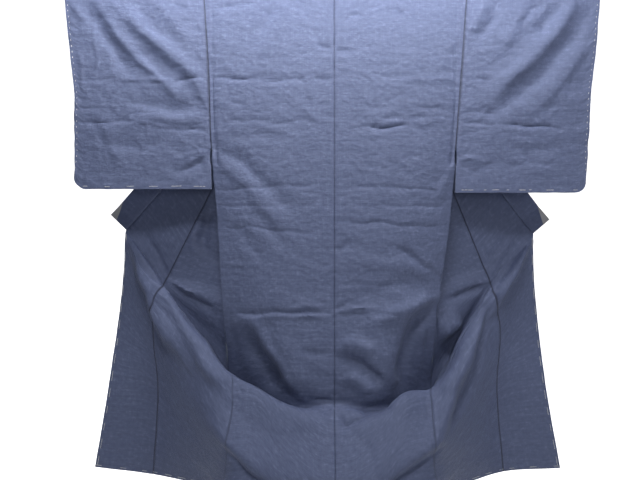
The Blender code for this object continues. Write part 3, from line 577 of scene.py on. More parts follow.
def front_flat(side, radii, side_points):
    """Flat across and height of the front, okumi and collar columns at the upper rows."""
    fold = side["fold"]
    height = side_points[:, 2]
    fall = np.clip((-POINT_DROP - height) / (-POINT_DROP - height[-1]), 0, 1)
    past = height < -POINT_DROP
    seam_z, edge_z = [np.where(past, -POINT_DROP + fall * (fold[lip] + POINT_DROP), height)
                      for lip in ("lip_okumi", "lip_edge")]
    seam_u = np.interp(height, FRONT_SEAM["height"], FRONT_SEAM["across"])
    edge_u = seam_u - fall * OKUMI_WIDTH
    near = off_fold(fold, side_points[:, 0], height)
    far = off_fold(fold, seam_u, seam_z)
    coarse = [front_shares(near[k], far[k], math.pi * radii[k] / 2) for k in range(len(height))]
    share = np.array([finer(row, FRONT_PLACES) for row in coarse])
    flat_u, flat_z = between(side_points[:, 0], seam_u, share), between(height, seam_z, share)
    okumi_u, okumi_z = between(seam_u, edge_u, OKUMI_SHARES), between(seam_z, edge_z, OKUMI_SHARES)
    edge = np.stack([np.interp(COARSE_ROWS, UPPER_ROWS, line) for line in (edge_u, edge_z)], axis=1)
    run = np.gradient(edge, axis=0)
    run /= np.linalg.norm(run, axis=1)[:, None]
    run = np.stack([np.interp(UPPER_ROWS, COARSE_ROWS, run[:, k]) for k in range(2)], axis=1)
    wide = COLLAR_WIDTH * COLLAR_SHARES
    collar_u = edge_u[:, None] + run[:, 1:] * wide
    collar_z = edge_z[:, None] - run[:, :1] * wide
    across = np.hstack((flat_u, okumi_u, collar_u))
    return across, np.hstack((flat_z, okumi_z, collar_z)), coarse[-1]


def front_upper(side, side_points):
    """The front, okumi and collar columns from the rod to the lip, folded back."""
    fold = side["fold"]
    room = off_fold(fold, side_points[:, 0], side_points[:, 2])
    radii = np.minimum(ROLL_RADIUS, ROLL_TAPER * room)
    flat_u, flat_z, share = front_flat(side, radii, side_points)
    spread = by_section(SIDE_SPREAD)
    rise = by_section(FRONT_RISE)
    result = []
    for k in range(len(UPPER_ROWS)):
        inward = np.maximum(side_points[k, 0] - flat_u[k], 0)
        depth = side_points[k, 1] + spread[k] + rise[k] * (1 - np.exp(-(inward / RISE_REACH) ** 2))
        result.append(fold_back(fold, flat_u[k], flat_z[k], depth, radii[k]))
    return np.array(result), share, ease(0.5 - off_fold(fold, flat_u, flat_z) / ROLL_RADIUS)


def body_grid(side):
    """Every column of one side from rod to hem, and how far each front point is folded back."""
    neck = NECK_HALF * BACK_WIDTH / SHOULDER_WIDTH
    coarse = np.concatenate((np.linspace(0, neck, NECK_CELLS + 1)[:-1],
                             np.linspace(neck, BACK_WIDTH, FRONT_CELLS + 1)))
    names = list(COLUMNS)
    cuts = finer(coarse, BACK_PLACES)
    coarse[-1] -= SIDE_FOLD / 2
    low_cuts = finer(coarse, BACK_PLACES)
    upper = [lay_across(side["back"][name], names[:4], cuts) for name in UPPER]
    lower = [lay_across(side["skirt"][name], names, low_cuts) for name in LOWER]
    back = loft(upper + lower, STEPS)
    folded, share, turned = front_upper(side, back[:LIP_ROW + 1, -1])
    collar = folded[:, -len(COLLAR_SHARES):]
    front = folded[:, :-len(COLLAR_SHARES)]
    even = np.linspace(0, 1, FRONT_CELLS + 1)
    okumi_cuts = COLUMNS["okumi"] + OKUMI_WIDTH * OKUMI_SHARES
    lower = []
    for name in LOWER:
        spread = BACK_WIDTH + FRONT_WIDTH * (share + (even - share) * EVENNESS[name])
        spread[0] += SIDE_FOLD / 2
        at = np.append(finer(spread, FRONT_PLACES), okumi_cuts)
        lower.append(lay_across(side["skirt"][name], names, at))
    middle = LIP_ROW - ROW_STEPS["waist"] // 2
    hung = loft([front[middle], front[-1]] + lower, [1] + STEPS[len(UPPER) - 1:])
    return back, np.vstack((front[:-1], hung[1:])), collar, turned[:, :-len(COLLAR_SHARES)]


print("A folded-back front rolls over a radius of up to", ROLL_RADIUS, "cm")

# %% [markdown]
# ## One sewn cloth
# All panels share their points along the seams, so neighbouring pieces always meet. The class
# keeps the points, the faces of each piece, where every corner lies on the flat cut cloth, and
# how far each point stands out from the smooth form.
# %% Sewn cloth
def cut_places(grid, start=0.0, width=None):
    """Where each point of a grid lies on the flat cloth: across and down, in centimetres."""
    across = lengths(grid, axis=1)
    if width is not None:
        across *= width / np.maximum(across[:, -1:], TINY)
    return np.stack((start + across, lengths(grid)), axis=-1)


def level(cut):
    """The same places with every row on one level, as the weft runs."""
    cut[..., 1] = cut[..., 1].mean(axis=1, keepdims=True)
    return cut


# How much painted shade darkens each seam line and the front edge, from 0 to 1
CENTRE_LINE = 0.75
ARMHOLE_LINE = 0.9
ARMHOLE_SIDE = 0.7
SIDE_LINE = 0.45
OKUMI_LINE = 0.9
COLLAR_LINE = 0.5
EDGE_LINE = 0.3
# The rows and columns of a face's four corners in a grid, and the two ways round them
THIS = slice(None, -1)
NEXT = slice(1, None)
CORNERS = ((THIS, THIS), (THIS, NEXT), (NEXT, NEXT), (NEXT, THIS))
FORWARD = (0, 1, 2, 3)
MIRRORED = (0, 3, 2, 1)


class Sewn:
    """The middle surface: points shared along the seams, faces listed by piece."""

    def __init__(self):
        self.points = np.zeros((0, 3))
        self.relief = np.zeros(0)
        # How much painted shade darkens the colour at each point, along seams and edges
        self.painted_shade = np.zeros(0)
        self.faces = {}

    def lay(self, grid, sign, relief=0.0):
        """Add a grid of points on one side of the garment; gives the table of their numbers."""
        shape = grid.shape[:-1]
        first = len(self.points)
        self.points = np.vstack((self.points, grid.reshape(-1, 3) * (sign, 1, 1)))
        self.relief = np.append(self.relief, np.broadcast_to(relief, shape))
        self.painted_shade = np.append(self.painted_shade, np.zeros(shape))
        return np.arange(first, len(self.points)).reshape(shape)

    def fill(self, piece, index, turned, cut):
        """Faces between neighbouring points of an index table, with their flat places."""
        order = MIRRORED if turned else FORWARD
        faces = np.stack([index[CORNERS[k]].ravel() for k in order], axis=1)
        flat = np.stack([cut[CORNERS[k]].reshape(-1, 2) for k in order], axis=1)
        self.faces.setdefault(piece, []).append((faces, flat))

    def normals(self):
        """The way each point faces, towards the wearer's side of the cloth."""
        sums = np.zeros_like(self.points)
        for faces, _ in [block for blocks in self.faces.values() for block in blocks]:
            corner = self.points[faces]
            lean = np.cross(corner[:, 2] - corner[:, 0], corner[:, 3] - corner[:, 1])
            lean /= np.sqrt(np.maximum(np.linalg.norm(lean, axis=1), TINY))[:, None]
            for k in FORWARD:
                np.add.at(sums, faces[:, k], lean)
        return sums / np.maximum(np.linalg.norm(sums, axis=1), TINY)[:, None]

# %% [markdown]
# ## How folds raise the surface
# A fold is strongest near its middle and dies out at its ends. Its path is nudged a little by
# slow waves, and one flank is steeper than the other, so that no two folds look machined.
# %% Fold shapes
# How far folds wander, in centimetres, and the slow waves that shift them across and down
WANDER = 0.35
WANDER_ACROSS = (0.55, 0.21, 1.3, 0.17)
WANDER_DOWN = (0.48, -0.16, 0.4, 0.23)
# How much wider and narrower than its half width a fold's two flanks are
FLANKS = (1.25, 0.8)
SOFT_GAIN = 1.45
CRISP_GAIN = 2.5
# How many half widths away a fold is still felt, how much of it is left at its very ends, and
# how soon it reaches its full rise
FOLD_ROOM = 4
FOLD_END = 0.3
FOLD_FADE = 4


def slow_wave(first, second, waves):
    return WANDER * np.sin(waves[0] * first + waves[1] * second + waves[2]) * np.cos(waves[3] * first)


def wander(across, height):
    """Small slow shifts that keep folds from running dead straight."""
    return (across + slow_wave(height, across, WANDER_ACROSS),
            height + slow_wave(across, height, WANDER_DOWN))


def along_path(path, across, height):
    """How far each point is from a path, how far along it, on which side, and the path's length."""
    gone = lengths(path)
    best = np.full(across.shape, np.inf)
    at = np.zeros(across.shape)
    beside = np.zeros(across.shape)
    for start, end, before in zip(path[:-1], path[1:], gone):
        run = np.linalg.norm(end - start)
        way = (end - start) / run
        part = (across - start[0]) * way[0] + (height - start[1]) * way[1]
        off = (across - start[0]) * way[1] - (height - start[1]) * way[0]
        held = np.clip(part, 0, run)
        far = np.hypot(part - held, off)
        closer = far < best
        best = np.where(closer, far, best)
        at = np.where(closer, before + held, at)
        beside = np.where(closer, off, beside)
    return best, at, beside, gone[-1]


def fold_relief(folds, across, height):
    """How far the folds raise or sink each point, in centimetres."""
    across, height = wander(across, height)
    total = np.zeros(across.shape)
    for table, gain, power in zip(folds, (SOFT_GAIN, CRISP_GAIN), (2, 1)):
        for reach, rise, path in table:
            path = np.array(path, float)
            low = path.min(axis=0) - FOLD_ROOM * reach
            high = path.max(axis=0) + FOLD_ROOM * reach
            near = (across > low[0]) & (across < high[0]) & (height > low[1]) & (height < high[1])
            far, at, beside, whole = along_path(path, across[near], height[near])
            fade = FOLD_END + (1 - FOLD_END) * ease(FOLD_FADE * np.minimum(at, whole - at) / whole)
            wide = reach * np.where(beside > 0, *FLANKS)
            total[near] += rise * fade * np.exp(-(far / wide) ** power) * gain
    return total

# %% [markdown]
# ## Bumps, gathers and pressed seams
# No cloth is quite flat between its folds, so a sum of random waves gives it low bumps. Where
# stitches pull it, short gathers stand beside the seam, and the seam itself is pressed down.
# %% Bumps
# Waves in the sum, how their pitches vary, and how their crests are stretched and bent
WAVES = 9
WAVE_PITCHES = (0.7, 1.6)
WAVE_STRETCH = 0.7
WAVE_BEND = 1.5
BEND_PITCH = (2.3, 1.9)
ANY_PHASE = (0, 6)
# Size and rise of the bumps on each panel
BUMPS = {"back": (5.0, 0.045), "back_fine": (2.4, 0.028), "skirt": (6.0, 0.04), "flap": (4.5, 0.03),
         "sleeve": (5.5, 0.055), "sleeve_fine": (2.6, 0.030), "band": (6.0, 0.02)}


def bumps(panel, across, height, seed):
    """The low bumps of one panel."""
    size, rise = BUMPS[panel]
    random = np.random.default_rng(seed)
    total = np.zeros(across.shape)
    for _ in range(WAVES):
        angle = random.uniform(0, math.pi)
        pitch = size * random.uniform(*WAVE_PITCHES)
        wave = across * math.cos(angle) * WAVE_STRETCH + height * math.sin(angle)
        bend = np.sin(across / (BEND_PITCH[0] * size) + random.uniform(*ANY_PHASE))
        bend *= WAVE_BEND * np.sin(height / (BEND_PITCH[1] * size))
        total += np.sin(2 * math.pi * wave / pitch + bend + random.uniform(*ANY_PHASE))
    return rise * total / math.sqrt(WAVES)


print("Panels with their own bumps:", ", ".join(BUMPS))

# %% Gathers and grooves
# Gathers beside each seam: pitch, how far from the seam they reach, rise
PUCKERS = {"centre": (2.1, 1.4, 0.13), "armhole": (1.7, 1.3, 0.13), "side": (2.4, 1.5, 0.10),
           "okumi": (1.6, 0.9, 0.06), "edge": (1.8, 0.8, 0.06), "sleeve": (1.7, 1.6, 0.15),
           "band": (1.8, 0.8, 0.03)}
# How pointed they are, how far the cloth sinks between them, how they stray and how they swell
PUCKER_EDGE = 2.5
PUCKER_SINK = 0.3
STRAY, STRAY_PITCH = 1.1, 1.7
SWELL, SWELL_PITCH = 0.4, 3.1


def puckers(seam, distance, along, seed):
    """Short gathers where stitches pull the cloth, dying out away from the seam."""
    pitch, reach, rise = PUCKERS[seam]
    phase = np.random.default_rng(seed).uniform(*ANY_PHASE)
    stray = STRAY * np.sin(along / (STRAY_PITCH * pitch))
    wave = np.sin(2 * math.pi * along / pitch + phase + stray)
    wave = np.exp(PUCKER_EDGE * (wave - 1)) - PUCKER_SINK
    swell = 1 - SWELL + SWELL * np.sin(along / (SWELL_PITCH * pitch) + phase)
    return rise * wave * swell * np.exp(-distance / reach)


# How deep a pressed seam lies and how far its groove reaches; the armhole's, at its top and how
# much more by its foot
SEAM_DEPTH = 0.22
SEAM_REACH = 0.20
ARMHOLE_DROP = 40
ARMHOLE_DEPTH = (0.16, 0.40)
ARMHOLE_REACH = (0.20, 0.20)


def groove(distance):
    return -SEAM_DEPTH * np.exp(-distance / SEAM_REACH)


def armhole_groove(distance, height):
    """The sleeve seam, pressed deeper and wider the lower it comes."""
    drop = np.clip(-height / ARMHOLE_DROP, 0, 1)
    depth = ARMHOLE_DEPTH[0] + ARMHOLE_DEPTH[1] * drop ** 2
    return -depth * np.exp(-distance / (ARMHOLE_REACH[0] + ARMHOLE_REACH[1] * drop))

# %% [markdown]
# ## Each panel's own relief
# The layers that hang one behind another share their folds, because the same pull shapes them.
# %% Relief of the body panels
SECTION = {name: k for k, name in enumerate(UPPER + LOWER)}
# How much each section has of the folds of the hanging cloth, and of the skirt's
HUNG_WEIGHTS = (1, 1, 1, 1, 1, 0.7, 0, 0, 0, 0, 0)
SAG_WEIGHTS = (0, 0, 0, 0, 0, 0.4, 1, 1, 1, 1, 1)
HUNG, SAGGED = (np.interp(ALL_ROWS, range(len(SECTION)), weights)[:, None]
                for weights in (HUNG_WEIGHTS, SAG_WEIGHTS))
# Where along its length each seam is sewn: a sleeve seam ends a little below the underarm, and
# the seams of the okumi begin over a part of a section
PAST_UNDERARM = 0.2
SEAM_START = 4
ROWS = ALL_ROWS[:, None]
ON_ARMHOLE = ROWS < SECTION["underarm"] + PAST_UNDERARM
ON_LOW_SIDE = ROWS > SECTION["rim"]
BELOW_POINT = ease((ROWS - SECTION["point"]) * SEAM_START)
ON_COLLAR = BELOW_POINT * (ROWS < SECTION["lip"])
# The front layer shows the back's folds the other way out, a little weaker
SHARED_FOLDS = -0.9
# Over how many centimetres folds begin, below the rod and beside the centre seam, and how far
# into that beginning the seam itself already is
ROD_FADE = 3
CENTRE_FADE, CENTRE_START = 1.2, 0.1
# What starts the random draws of the gathers, and how far apart those of the finer bumps are
SEAM_SEEDS = {"centre": 5, "armhole": 6, "side": 7}
FINE_SEED = 10


def back_relief(side, across, height):
    seed = side["seeds"]["back"]
    return (fold_relief(side["back_folds"], across, height) + bumps("back", across, height, seed)
            + bumps("back_fine", across, height, seed + FINE_SEED))


def skirt_relief(side, across, height):
    seed = side["seeds"]["body"]
    return fold_relief(side["skirt_folds"], across, height) + bumps("skirt", across, height, seed)


def shared_puckers(seam, distance, along):
    """Gathers that are alike on both halves of the garment."""
    return puckers(seam, distance, along, SEAM_SEEDS[seam])


def outside_relief(side, back, cuts):
    """Relief of the back's points, towards the outside of the cloth."""
    u, z = back[:, :, 0], back[:, :, 2]
    relief = HUNG * back_relief(side, u, z) + SAGGED * skirt_relief(side, u, z)
    relief *= ease(cuts / CENTRE_FADE + CENTRE_START) * ease(-z / ROD_FADE)
    relief += groove(cuts) + shared_puckers("centre", cuts, z)
    beside = np.abs(BACK_WIDTH - cuts)
    relief += ON_ARMHOLE * (armhole_groove(beside, z) + shared_puckers("armhole", beside, z))
    return relief + ON_LOW_SIDE * shared_puckers("side", beside, z)


def front_relief(side, front, turned):
    """Relief of the front's points, towards the outside of the cloth."""
    seed = side["seeds"]["body"]
    u, z = front[:, :, 0], front[:, :, 2]
    turned = np.vstack((turned, np.repeat(turned[-1:], len(front) - len(turned), axis=0)))
    near = SHARED_FOLDS * back_relief(side, u, z)
    far = fold_relief(side["flap_folds"], u, z) + bumps("flap", u, z, seed + 1)
    relief = HUNG * (near * (1 - turned) + far * turned) + SAGGED * skirt_relief(side, u, z)
    relief *= ease(-z / ROD_FADE)
    from_seam = FRONT_WIDTH * (1 - FRONT_PLACES / FRONT_CELLS)
    seam = np.concatenate((from_seam, OKUMI_WIDTH * OKUMI_SHARES)) + 0 * z
    edge = np.concatenate((from_seam + OKUMI_WIDTH, OKUMI_WIDTH * (1 - OKUMI_SHARES))) + 0 * z
    relief += BELOW_POINT * (groove(seam) + puckers("okumi", seam, z, seed + 2))
    return relief + ON_COLLAR * (groove(edge) + puckers("edge", edge, z, seed + 3))

# %% [markdown]
# ## Sleeves
# A kimono sleeve is a deep bag. Only the upper part of its inner side is sewn to the body. The
# rest hangs free, closed below, with a rounded outer corner and a cuff left open for the hand.
# %% Sleeve
# The sleeve's folds begin at its seam, and the seam is sewn as far down as this
SEAM_FADE = (2.5, 0.05)
SEWN_TO = -42


def sleeve_relief(side, across, height, inner, facing):
    """Relief of the near (facing 1) or far (facing -1) side of a sleeve."""
    seed = side["seeds"]["sleeve"]
    shared = fold_relief(side["sleeve_folds"], across, height) + bumps("sleeve", across, height, seed)
    own = bumps("sleeve_fine", across, height, seed + facing)
    seam = np.abs(across - inner)
    relief = (facing * shared + own) * ease(seam / SEAM_FADE[0] + SEAM_FADE[1]) * ease(-height / ROD_FADE)
    pulled = armhole_groove(seam, height) + puckers("sleeve", seam, height, SEAM_SEEDS["armhole"])
    return relief + (height > SEWN_TO) * pulled


def sleeve_form(side, back, front):
    """The near and the far side of the bag as grids of points, and where its inner edge is."""
    sleeve = side["sleeve"]
    edges = [panel[:UNDERARM_ROW + 1, column] for panel, column in ((back, -1), (front, 0))]
    armhole = edges[0]
    low = armhole[-1]
    deep = low[2] - sleeve["foot"]
    drops = np.linspace(FREE_EDGE_START, deep, FREE_ROWS)
    heights = np.append(armhole[:, 2], low[2] - drops)
    free = low[0] + FREE_EDGE_STEP
    inner = np.concatenate((armhole[:-1, 0], [free], free - drops * FREE_EDGE_LEAN))
    outer = np.interp(-heights, -np.array(sleeve["heights"]), sleeve["outer"])
    wide = outer[-1] - inner[-1]
    straight = 1 - SLEEVE_CORNER / wide
    bends = np.linspace(0, math.pi / 2, CORNER_COLUMNS + 1)[1:]
    share = np.concatenate(([0, HARD_BY * SLEEVE_CORNER / wide],
                            np.linspace(0, straight, SLEEVE_COLUMNS)[1:],
                            straight + (1 - straight) * np.sin(bends)))
    across = between(inner, outer, share)
    past = np.clip(share - straight, 0, None) * wide
    lift = SLEEVE_CORNER - np.sqrt(np.maximum(SLEEVE_CORNER ** 2 - past ** 2, 0))
    fall = np.clip((low[2] - heights) / deep, 0, 1)
    height = heights[:, None] + fall[:, None] * lift
    sides = []
    for edge in edges:
        depth = np.append(edge[:, 1], [edge[-1, 1]] * FREE_ROWS)
        sides.append(np.stack((across, depth[:, None] + 0 * height, height), axis=-1))
    return *sides, inner[:, None]


def build_sleeve(cloth, name, side, panels, indices, over):
    """A sleeve bag, closed at its foot and low on both ends; gives its near side's points."""
    turned = side["sign"] < 0
    near_grid, far_grid, inner = sleeve_form(side, *panels)
    across, height = near_grid[..., 0], near_grid[..., 2]
    near, far = [cloth.lay(grid, side["sign"], sleeve_relief(side, across, height, inner, facing))
                 for grid, facing in ((near_grid, 1), (far_grid, -1))]
    # Painted shade along the armhole seam, and a band of it beside the seam that swells towards the middle
    cloth.painted_shade[near[:UNDERARM_ROW, 1]] = ARMHOLE_LINE
    cloth.painted_shade[near[:UNDERARM_ROW, 2]] = ARMHOLE_SIDE * np.sin(np.linspace(0, math.pi, UNDERARM_ROW))
    near[:UNDERARM_ROW, 0] = indices[0][:UNDERARM_ROW, -1]
    far[:UNDERARM_ROW, 0] = indices[1][:UNDERARM_ROW, 0]
    arcs = over_rod(near_grid[0], far_grid[0])
    arc = cloth.lay(arcs, side["sign"])
    arc[:, 0] = over[:, -1]
    ring_cut = cut_places(np.vstack((near_grid[::-1], arcs, far_grid, near_grid[-1:])))
    cloth.fill(name, np.vstack((near[::-1], arc, far, near[-1:])), not turned, ring_cut)
    cuff = int(np.argmax(height[:, 0] <= -CUFF_DROP))
    inner_end = (slice(UNDERARM_ROW + 1, None), 0)
    outer_end = (slice(cuff, None), -1)
    cloth.fill(name, strip(far[inner_end], near[inner_end]), turned,
               cut_places(strip(far_grid[inner_end], near_grid[inner_end])))
    cloth.fill(name, strip(near[outer_end], far[outer_end]), turned,
               cut_places(strip(near_grid[outer_end], far_grid[outer_end])))
    return near

# %% [markdown]
# ## The collar
# The collar is one long band. It starts on the front edge of one okumi, runs up to the neck,
# round the back of it and down the other side. Laid open it is flat beside the edge; at the
# neck it turns to stand up.
# %% Collar
def collar_neck(point_row, seams):
    """Collar points from the okumi's point round the neck, turning to stand up."""
    share = COLLAR_WIDTH * COLLAR_SHARES[:, None]
    laid = point_row - seams[0]
    stand, centre = np.array(COLLAR_STAND), np.array(COLLAR_CENTRE)
    travelled = lengths(seams)
    front = travelled[-1 - NECK_COLUMN]
    rows = []
    for seam, gone in zip(seams[1:], travelled[1:]):
        if gone <= front:
            part = ease(gone / front)
            offset = laid * (1 - part) + share * stand * part
        else:
            part = (gone - front) / (travelled[-1] - front)
            offset = share * (stand * (1 - part) + centre * part)
        offset *= share / np.linalg.norm(offset, axis=1)[:, None]
        rows.append(seam + offset)
    return np.array(rows)


# The band's bumps run along it
BAND_STRETCH = 3
BAND_SEED = 61


def collar_relief(band):
    """The band's soft edges and the long wrinkles of its folded layers."""
    u = COLLAR_WIDTH * COLLAR_SHARES + 0 * band[:, :, 0]
    z = band[:, :, 2]
    return (bumps("band", u * BAND_STRETCH, z, BAND_SEED) + groove(u)
            + puckers("band", u, z, BAND_SEED + 1))

# %% [markdown]
# ## Sewing up
# Each half is laid from its back to its collar. A seam is one row of points that two pieces
# share, and painted shade darkens the cloth along it, standing for the shade in its pressed groove.
# %% Sewing up
def darken_seams(cloth, back, front):
    """Note how much painted shade darkens the cloth along each seam and the front edge of one half."""
    for points, darkness in (
            (back[:, 0], CENTRE_LINE),
            (back[:UNDERARM_ROW, -1], ARMHOLE_LINE),
            (front[:UNDERARM_ROW, 0], ARMHOLE_LINE),
            (back[UNDERARM_ROW:, -1], SIDE_LINE),
            (front[POINT_ROW:, SEAM_COLUMN], OKUMI_LINE),
            (front[POINT_ROW:, SEAM_COLUMN + 1], OKUMI_LINE),
            (front[POINT_ROW:LIP_ROW, -1], COLLAR_LINE),
            (front[LIP_ROW:, -1], EDGE_LINE)):
        cloth.painted_shade[points] = darkness


def sew_half(cloth, label, side, centre):
    """Lay the panels of one half on shared seams; gives its lines of points, and its collar."""
    sign, turned, body = side["sign"], side["sign"] < 0, label + "_body"
    back, front, collar, folded = body_grid(side)
    back_cut = cut_places(back)
    front_cut = level(cut_places(front[:, :SEAM_COLUMN + 1], BACK_WIDTH, FRONT_WIDTH))
    backs = cloth.lay(back, sign, outside_relief(side, back, back_cut[:, :, 0]))
    fronts = cloth.lay(front, sign, front_relief(side, front, folded))
    darken_seams(cloth, backs, fronts)
    if centre is not None:
        backs[:, 0] = centre
    cloth.fill(body, backs, turned, back_cut)
    cloth.fill(body, fronts[:, :SEAM_COLUMN + 1], turned, front_cut)
    cloth.fill(body, strip(backs[UNDERARM_ROW:, -1], fronts[UNDERARM_ROW:, 0]), turned,
               strip(back_cut[UNDERARM_ROW:, -1], front_cut[UNDERARM_ROW:, 0]))
    top, low = (0, slice(NECK_COLUMN, None)), (0, slice(SEAM_COLUMN, None, -1))
    arcs = over_rod(back[top], front[low])
    over = cloth.lay(arcs, sign)
    cloth.fill(body, np.vstack((backs[top], over, fronts[low])), not turned,
               cut_places(np.vstack((back[top][None], arcs, front[low][None]))))
    okumi = fronts[POINT_ROW:, SEAM_COLUMN:].copy()
    okumi[0, :] = okumi[0, 0]
    cloth.fill(label + "_okumi", okumi, turned, level(cut_places(front[POINT_ROW:, SEAM_COLUMN:])))
    near = build_sleeve(cloth, label + "_sleeve", side, (back, front), (backs, fronts), over)
    seam = np.concatenate((okumi[LIP_ROW - POINT_ROW:0:-1, -1], fronts[POINT_ROW::-1, SEAM_COLUMN],
                           over[::-1, 0], backs[0, NECK_COLUMN::-1]))
    around = np.vstack((front[POINT_ROW::-1, SEAM_COLUMN], arcs[::-1, 0], back[0, NECK_COLUMN::-1]))
    rows = np.vstack((collar[LIP_ROW:POINT_ROW - 1:-1], collar_neck(collar[POINT_ROW], around)))
    band = cloth.lay(rows, sign, collar_relief(rows))
    lines = {"near": near, "okumi": okumi, "front": fronts, "back": backs}
    return lines, (np.hstack((seam[:, None], band)), rows)


def join_collar(cloth, halves):
    """One band from both halves, met at the back of the neck."""
    (left, left_rows), (right, right_rows) = halves
    band = np.vstack((left, right[-2::-1]))
    grid = np.vstack((left_rows, right_rows[-2::-1] * (-1, 1, 1)))
    edge = 2 * grid[:, :1] - grid[:, 1:2]
    cut = cut_places(np.hstack((edge, grid)), width=COLLAR_WIDTH)
    cut[..., 1] = np.minimum(cut[..., 1], cut[-1:, :, 1] - cut[..., 1])
    cloth.fill("collar", band, False, cut)


cloth = Sewn()
lines = {}
collar_halves = []
for label, side in SIDES.items():
    centre = lines["left"]["back"][:, 0] if lines else None
    lines[label], half = sew_half(cloth, label, side, centre)
    collar_halves.append(half)
join_collar(cloth, collar_halves)
print("Points on the middle surface:", len(cloth.points))
for name, blocks in cloth.faces.items():
    print(f"  {name}: {sum(len(faces) for faces, _ in blocks)} faces")

# %% [markdown]
# ## Thin shells
# The relief moves the middle surface along its own facing. Each piece then becomes a closed
# shell: an outer face, a lining face and a narrow rim, as a lined hem shows.
# %% Shells
SHARP_ANGLE = 50


def raise_folds(cloth):
    """Move the middle surface out by its relief; gives its new outward directions."""
    cloth.points = cloth.points - cloth.normals() * cloth.relief[:, None]
    return -cloth.normals()


def to_scene(name, data):
    """A new object in the scene that shows this mesh, light or camera."""
    thing = bpy.data.objects.new(name, data)
    bpy.context.scene.collection.objects.link(thing)
    return thing


def open_rim(local, flat):
    """Faces that join the outer side to the lining along every open edge, and their flat places."""
    count = local.max() + 1
    starts, ends = local, np.roll(local, -1, axis=1)
    met = ends * count + starts
    whole = starts != ends
    bare = whole & ~np.isin(starts * count + ends, met[whole])
    start, end = starts[bare], ends[bare]
    faces = np.stack((start, end, end + count, start + count), axis=1)
    return faces, np.repeat(flat[bare][:, None], len(FORWARD), axis=1)


def shell(cloth, outward, name, half):
    """One piece as a closed mesh, outer faces first, in metres."""
    faces, flat = [np.vstack(kind) for kind in zip(*cloth.faces[name])]
    used, local = np.unique(faces, return_inverse=True)
    local = local.reshape(faces.shape)
    count = len(used)
    points = [cloth.points[used] + way * outward[used] * half for way in (1, -1)]
    # The outer side goes the other way round, so that both sides split along one diagonal
    loops, sizes, places, slots = [], [], [], []
    for corners, spots, slot in ((local[:, MIRRORED], flat[:, MIRRORED], 0), (local + count, flat, 1),
                                 (*open_rim(local, flat), 0)):
        keep = corners != np.roll(corners, 1, axis=1)
        loops.append(corners[keep])
        places.append(spots[keep])
        sizes.append(keep.sum(axis=1))
        slots.append(np.full(len(corners), slot))
    sizes = np.concatenate(sizes)
    mesh = bpy.data.meshes.new(name + "_cloth")
    mesh.vertices.add(2 * count)
    mesh.vertices.foreach_set("co", np.vstack(points).ravel() * CM)
    mesh.loops.add(int(sizes.sum()))
    mesh.loops.foreach_set("vertex_index", np.concatenate(loops))
    mesh.polygons.add(len(sizes))
    mesh.polygons.foreach_set("loop_start", np.concatenate(([0], np.cumsum(sizes)[:-1])))
    mesh.polygons.foreach_set("material_index", np.concatenate(slots))
    mesh.update(calc_edges=True)
    # The painted shade along seams and edges goes to the material as a point attribute
    painted_shade = mesh.attributes.new("painted_shade", "FLOAT", "POINT")
    painted_shade.data.foreach_set("value", np.tile(cloth.painted_shade[used], 2))
    layer = mesh.uv_layers.new(name="cut")
    layer.data.foreach_set("uv", (np.vstack(places) * CM).ravel())
    mesh.validate()
    mesh.shade_smooth()
    mesh.set_sharp_from_angle(angle=math.radians(SHARP_ANGLE))
    return to_scene(name + "_cloth", mesh)


outward = raise_folds(cloth)
pieces = {}
for name in cloth.faces:
    half = COLLAR_HALF_WALL if name == "collar" else HALF_WALL
    pieces[name] = shell(cloth, outward, name, half)
    mesh = pieces[name].data
    print(f"  {name}: {sum(len(p.vertices) - 2 for p in mesh.polygons)} triangles")

# %% [markdown]
# ## Materials
# One small class writes shader maths as plain expressions. Everything is worked out on the flat
# cut cloth, whose coordinates are metres, so the threads run along each strip as they would.
# %% Shader helpers
def maths(operation, turned=False):
    """A method that adds one maths node; turned puts the other number first."""
    def method(self, other=0.0):
        pair = (other, self) if turned else (self, other)
        node = self.finish.node("ShaderNodeMath", {"operation": operation}, dict(enumerate(pair)))
        return Value(self.finish, node.outputs[0])
    return method


class Value:
    """A number inside a material, which can be added, multiplied and compared."""

    __add__ = maths("ADD")
    __radd__ = maths("ADD", turned=True)
    __sub__ = maths("SUBTRACT")
    __rsub__ = maths("SUBTRACT", turned=True)
    __mul__ = maths("MULTIPLY")
    __rmul__ = maths("MULTIPLY", turned=True)
    __truediv__ = maths("DIVIDE")
    __gt__ = maths("GREATER_THAN")
    __lt__ = maths("LESS_THAN")
    wave = maths("SINE")
    size = maths("ABSOLUTE")

    def __init__(self, finish, socket):
        self.finish = finish
        self.socket = socket


def fill_sockets(tree, sockets, values):
    """Give each socket a number, a colour, or a link from another node."""
    for key, value in values.items():
        value = value.socket if isinstance(value, Value) else value
        if isinstance(value, bpy.types.NodeSocket):
            tree.links.new(value, sockets[key])
        else:
            sockets[key].default_value = value


def add_node(tree, kind, settings, values):
    """One node in a tree, with its settings and the values of its sockets."""
    node = tree.nodes.new(kind)
    for key, value in settings.items():
        setattr(node, key, value)
    fill_sockets(tree, node.inputs, values)
    return node


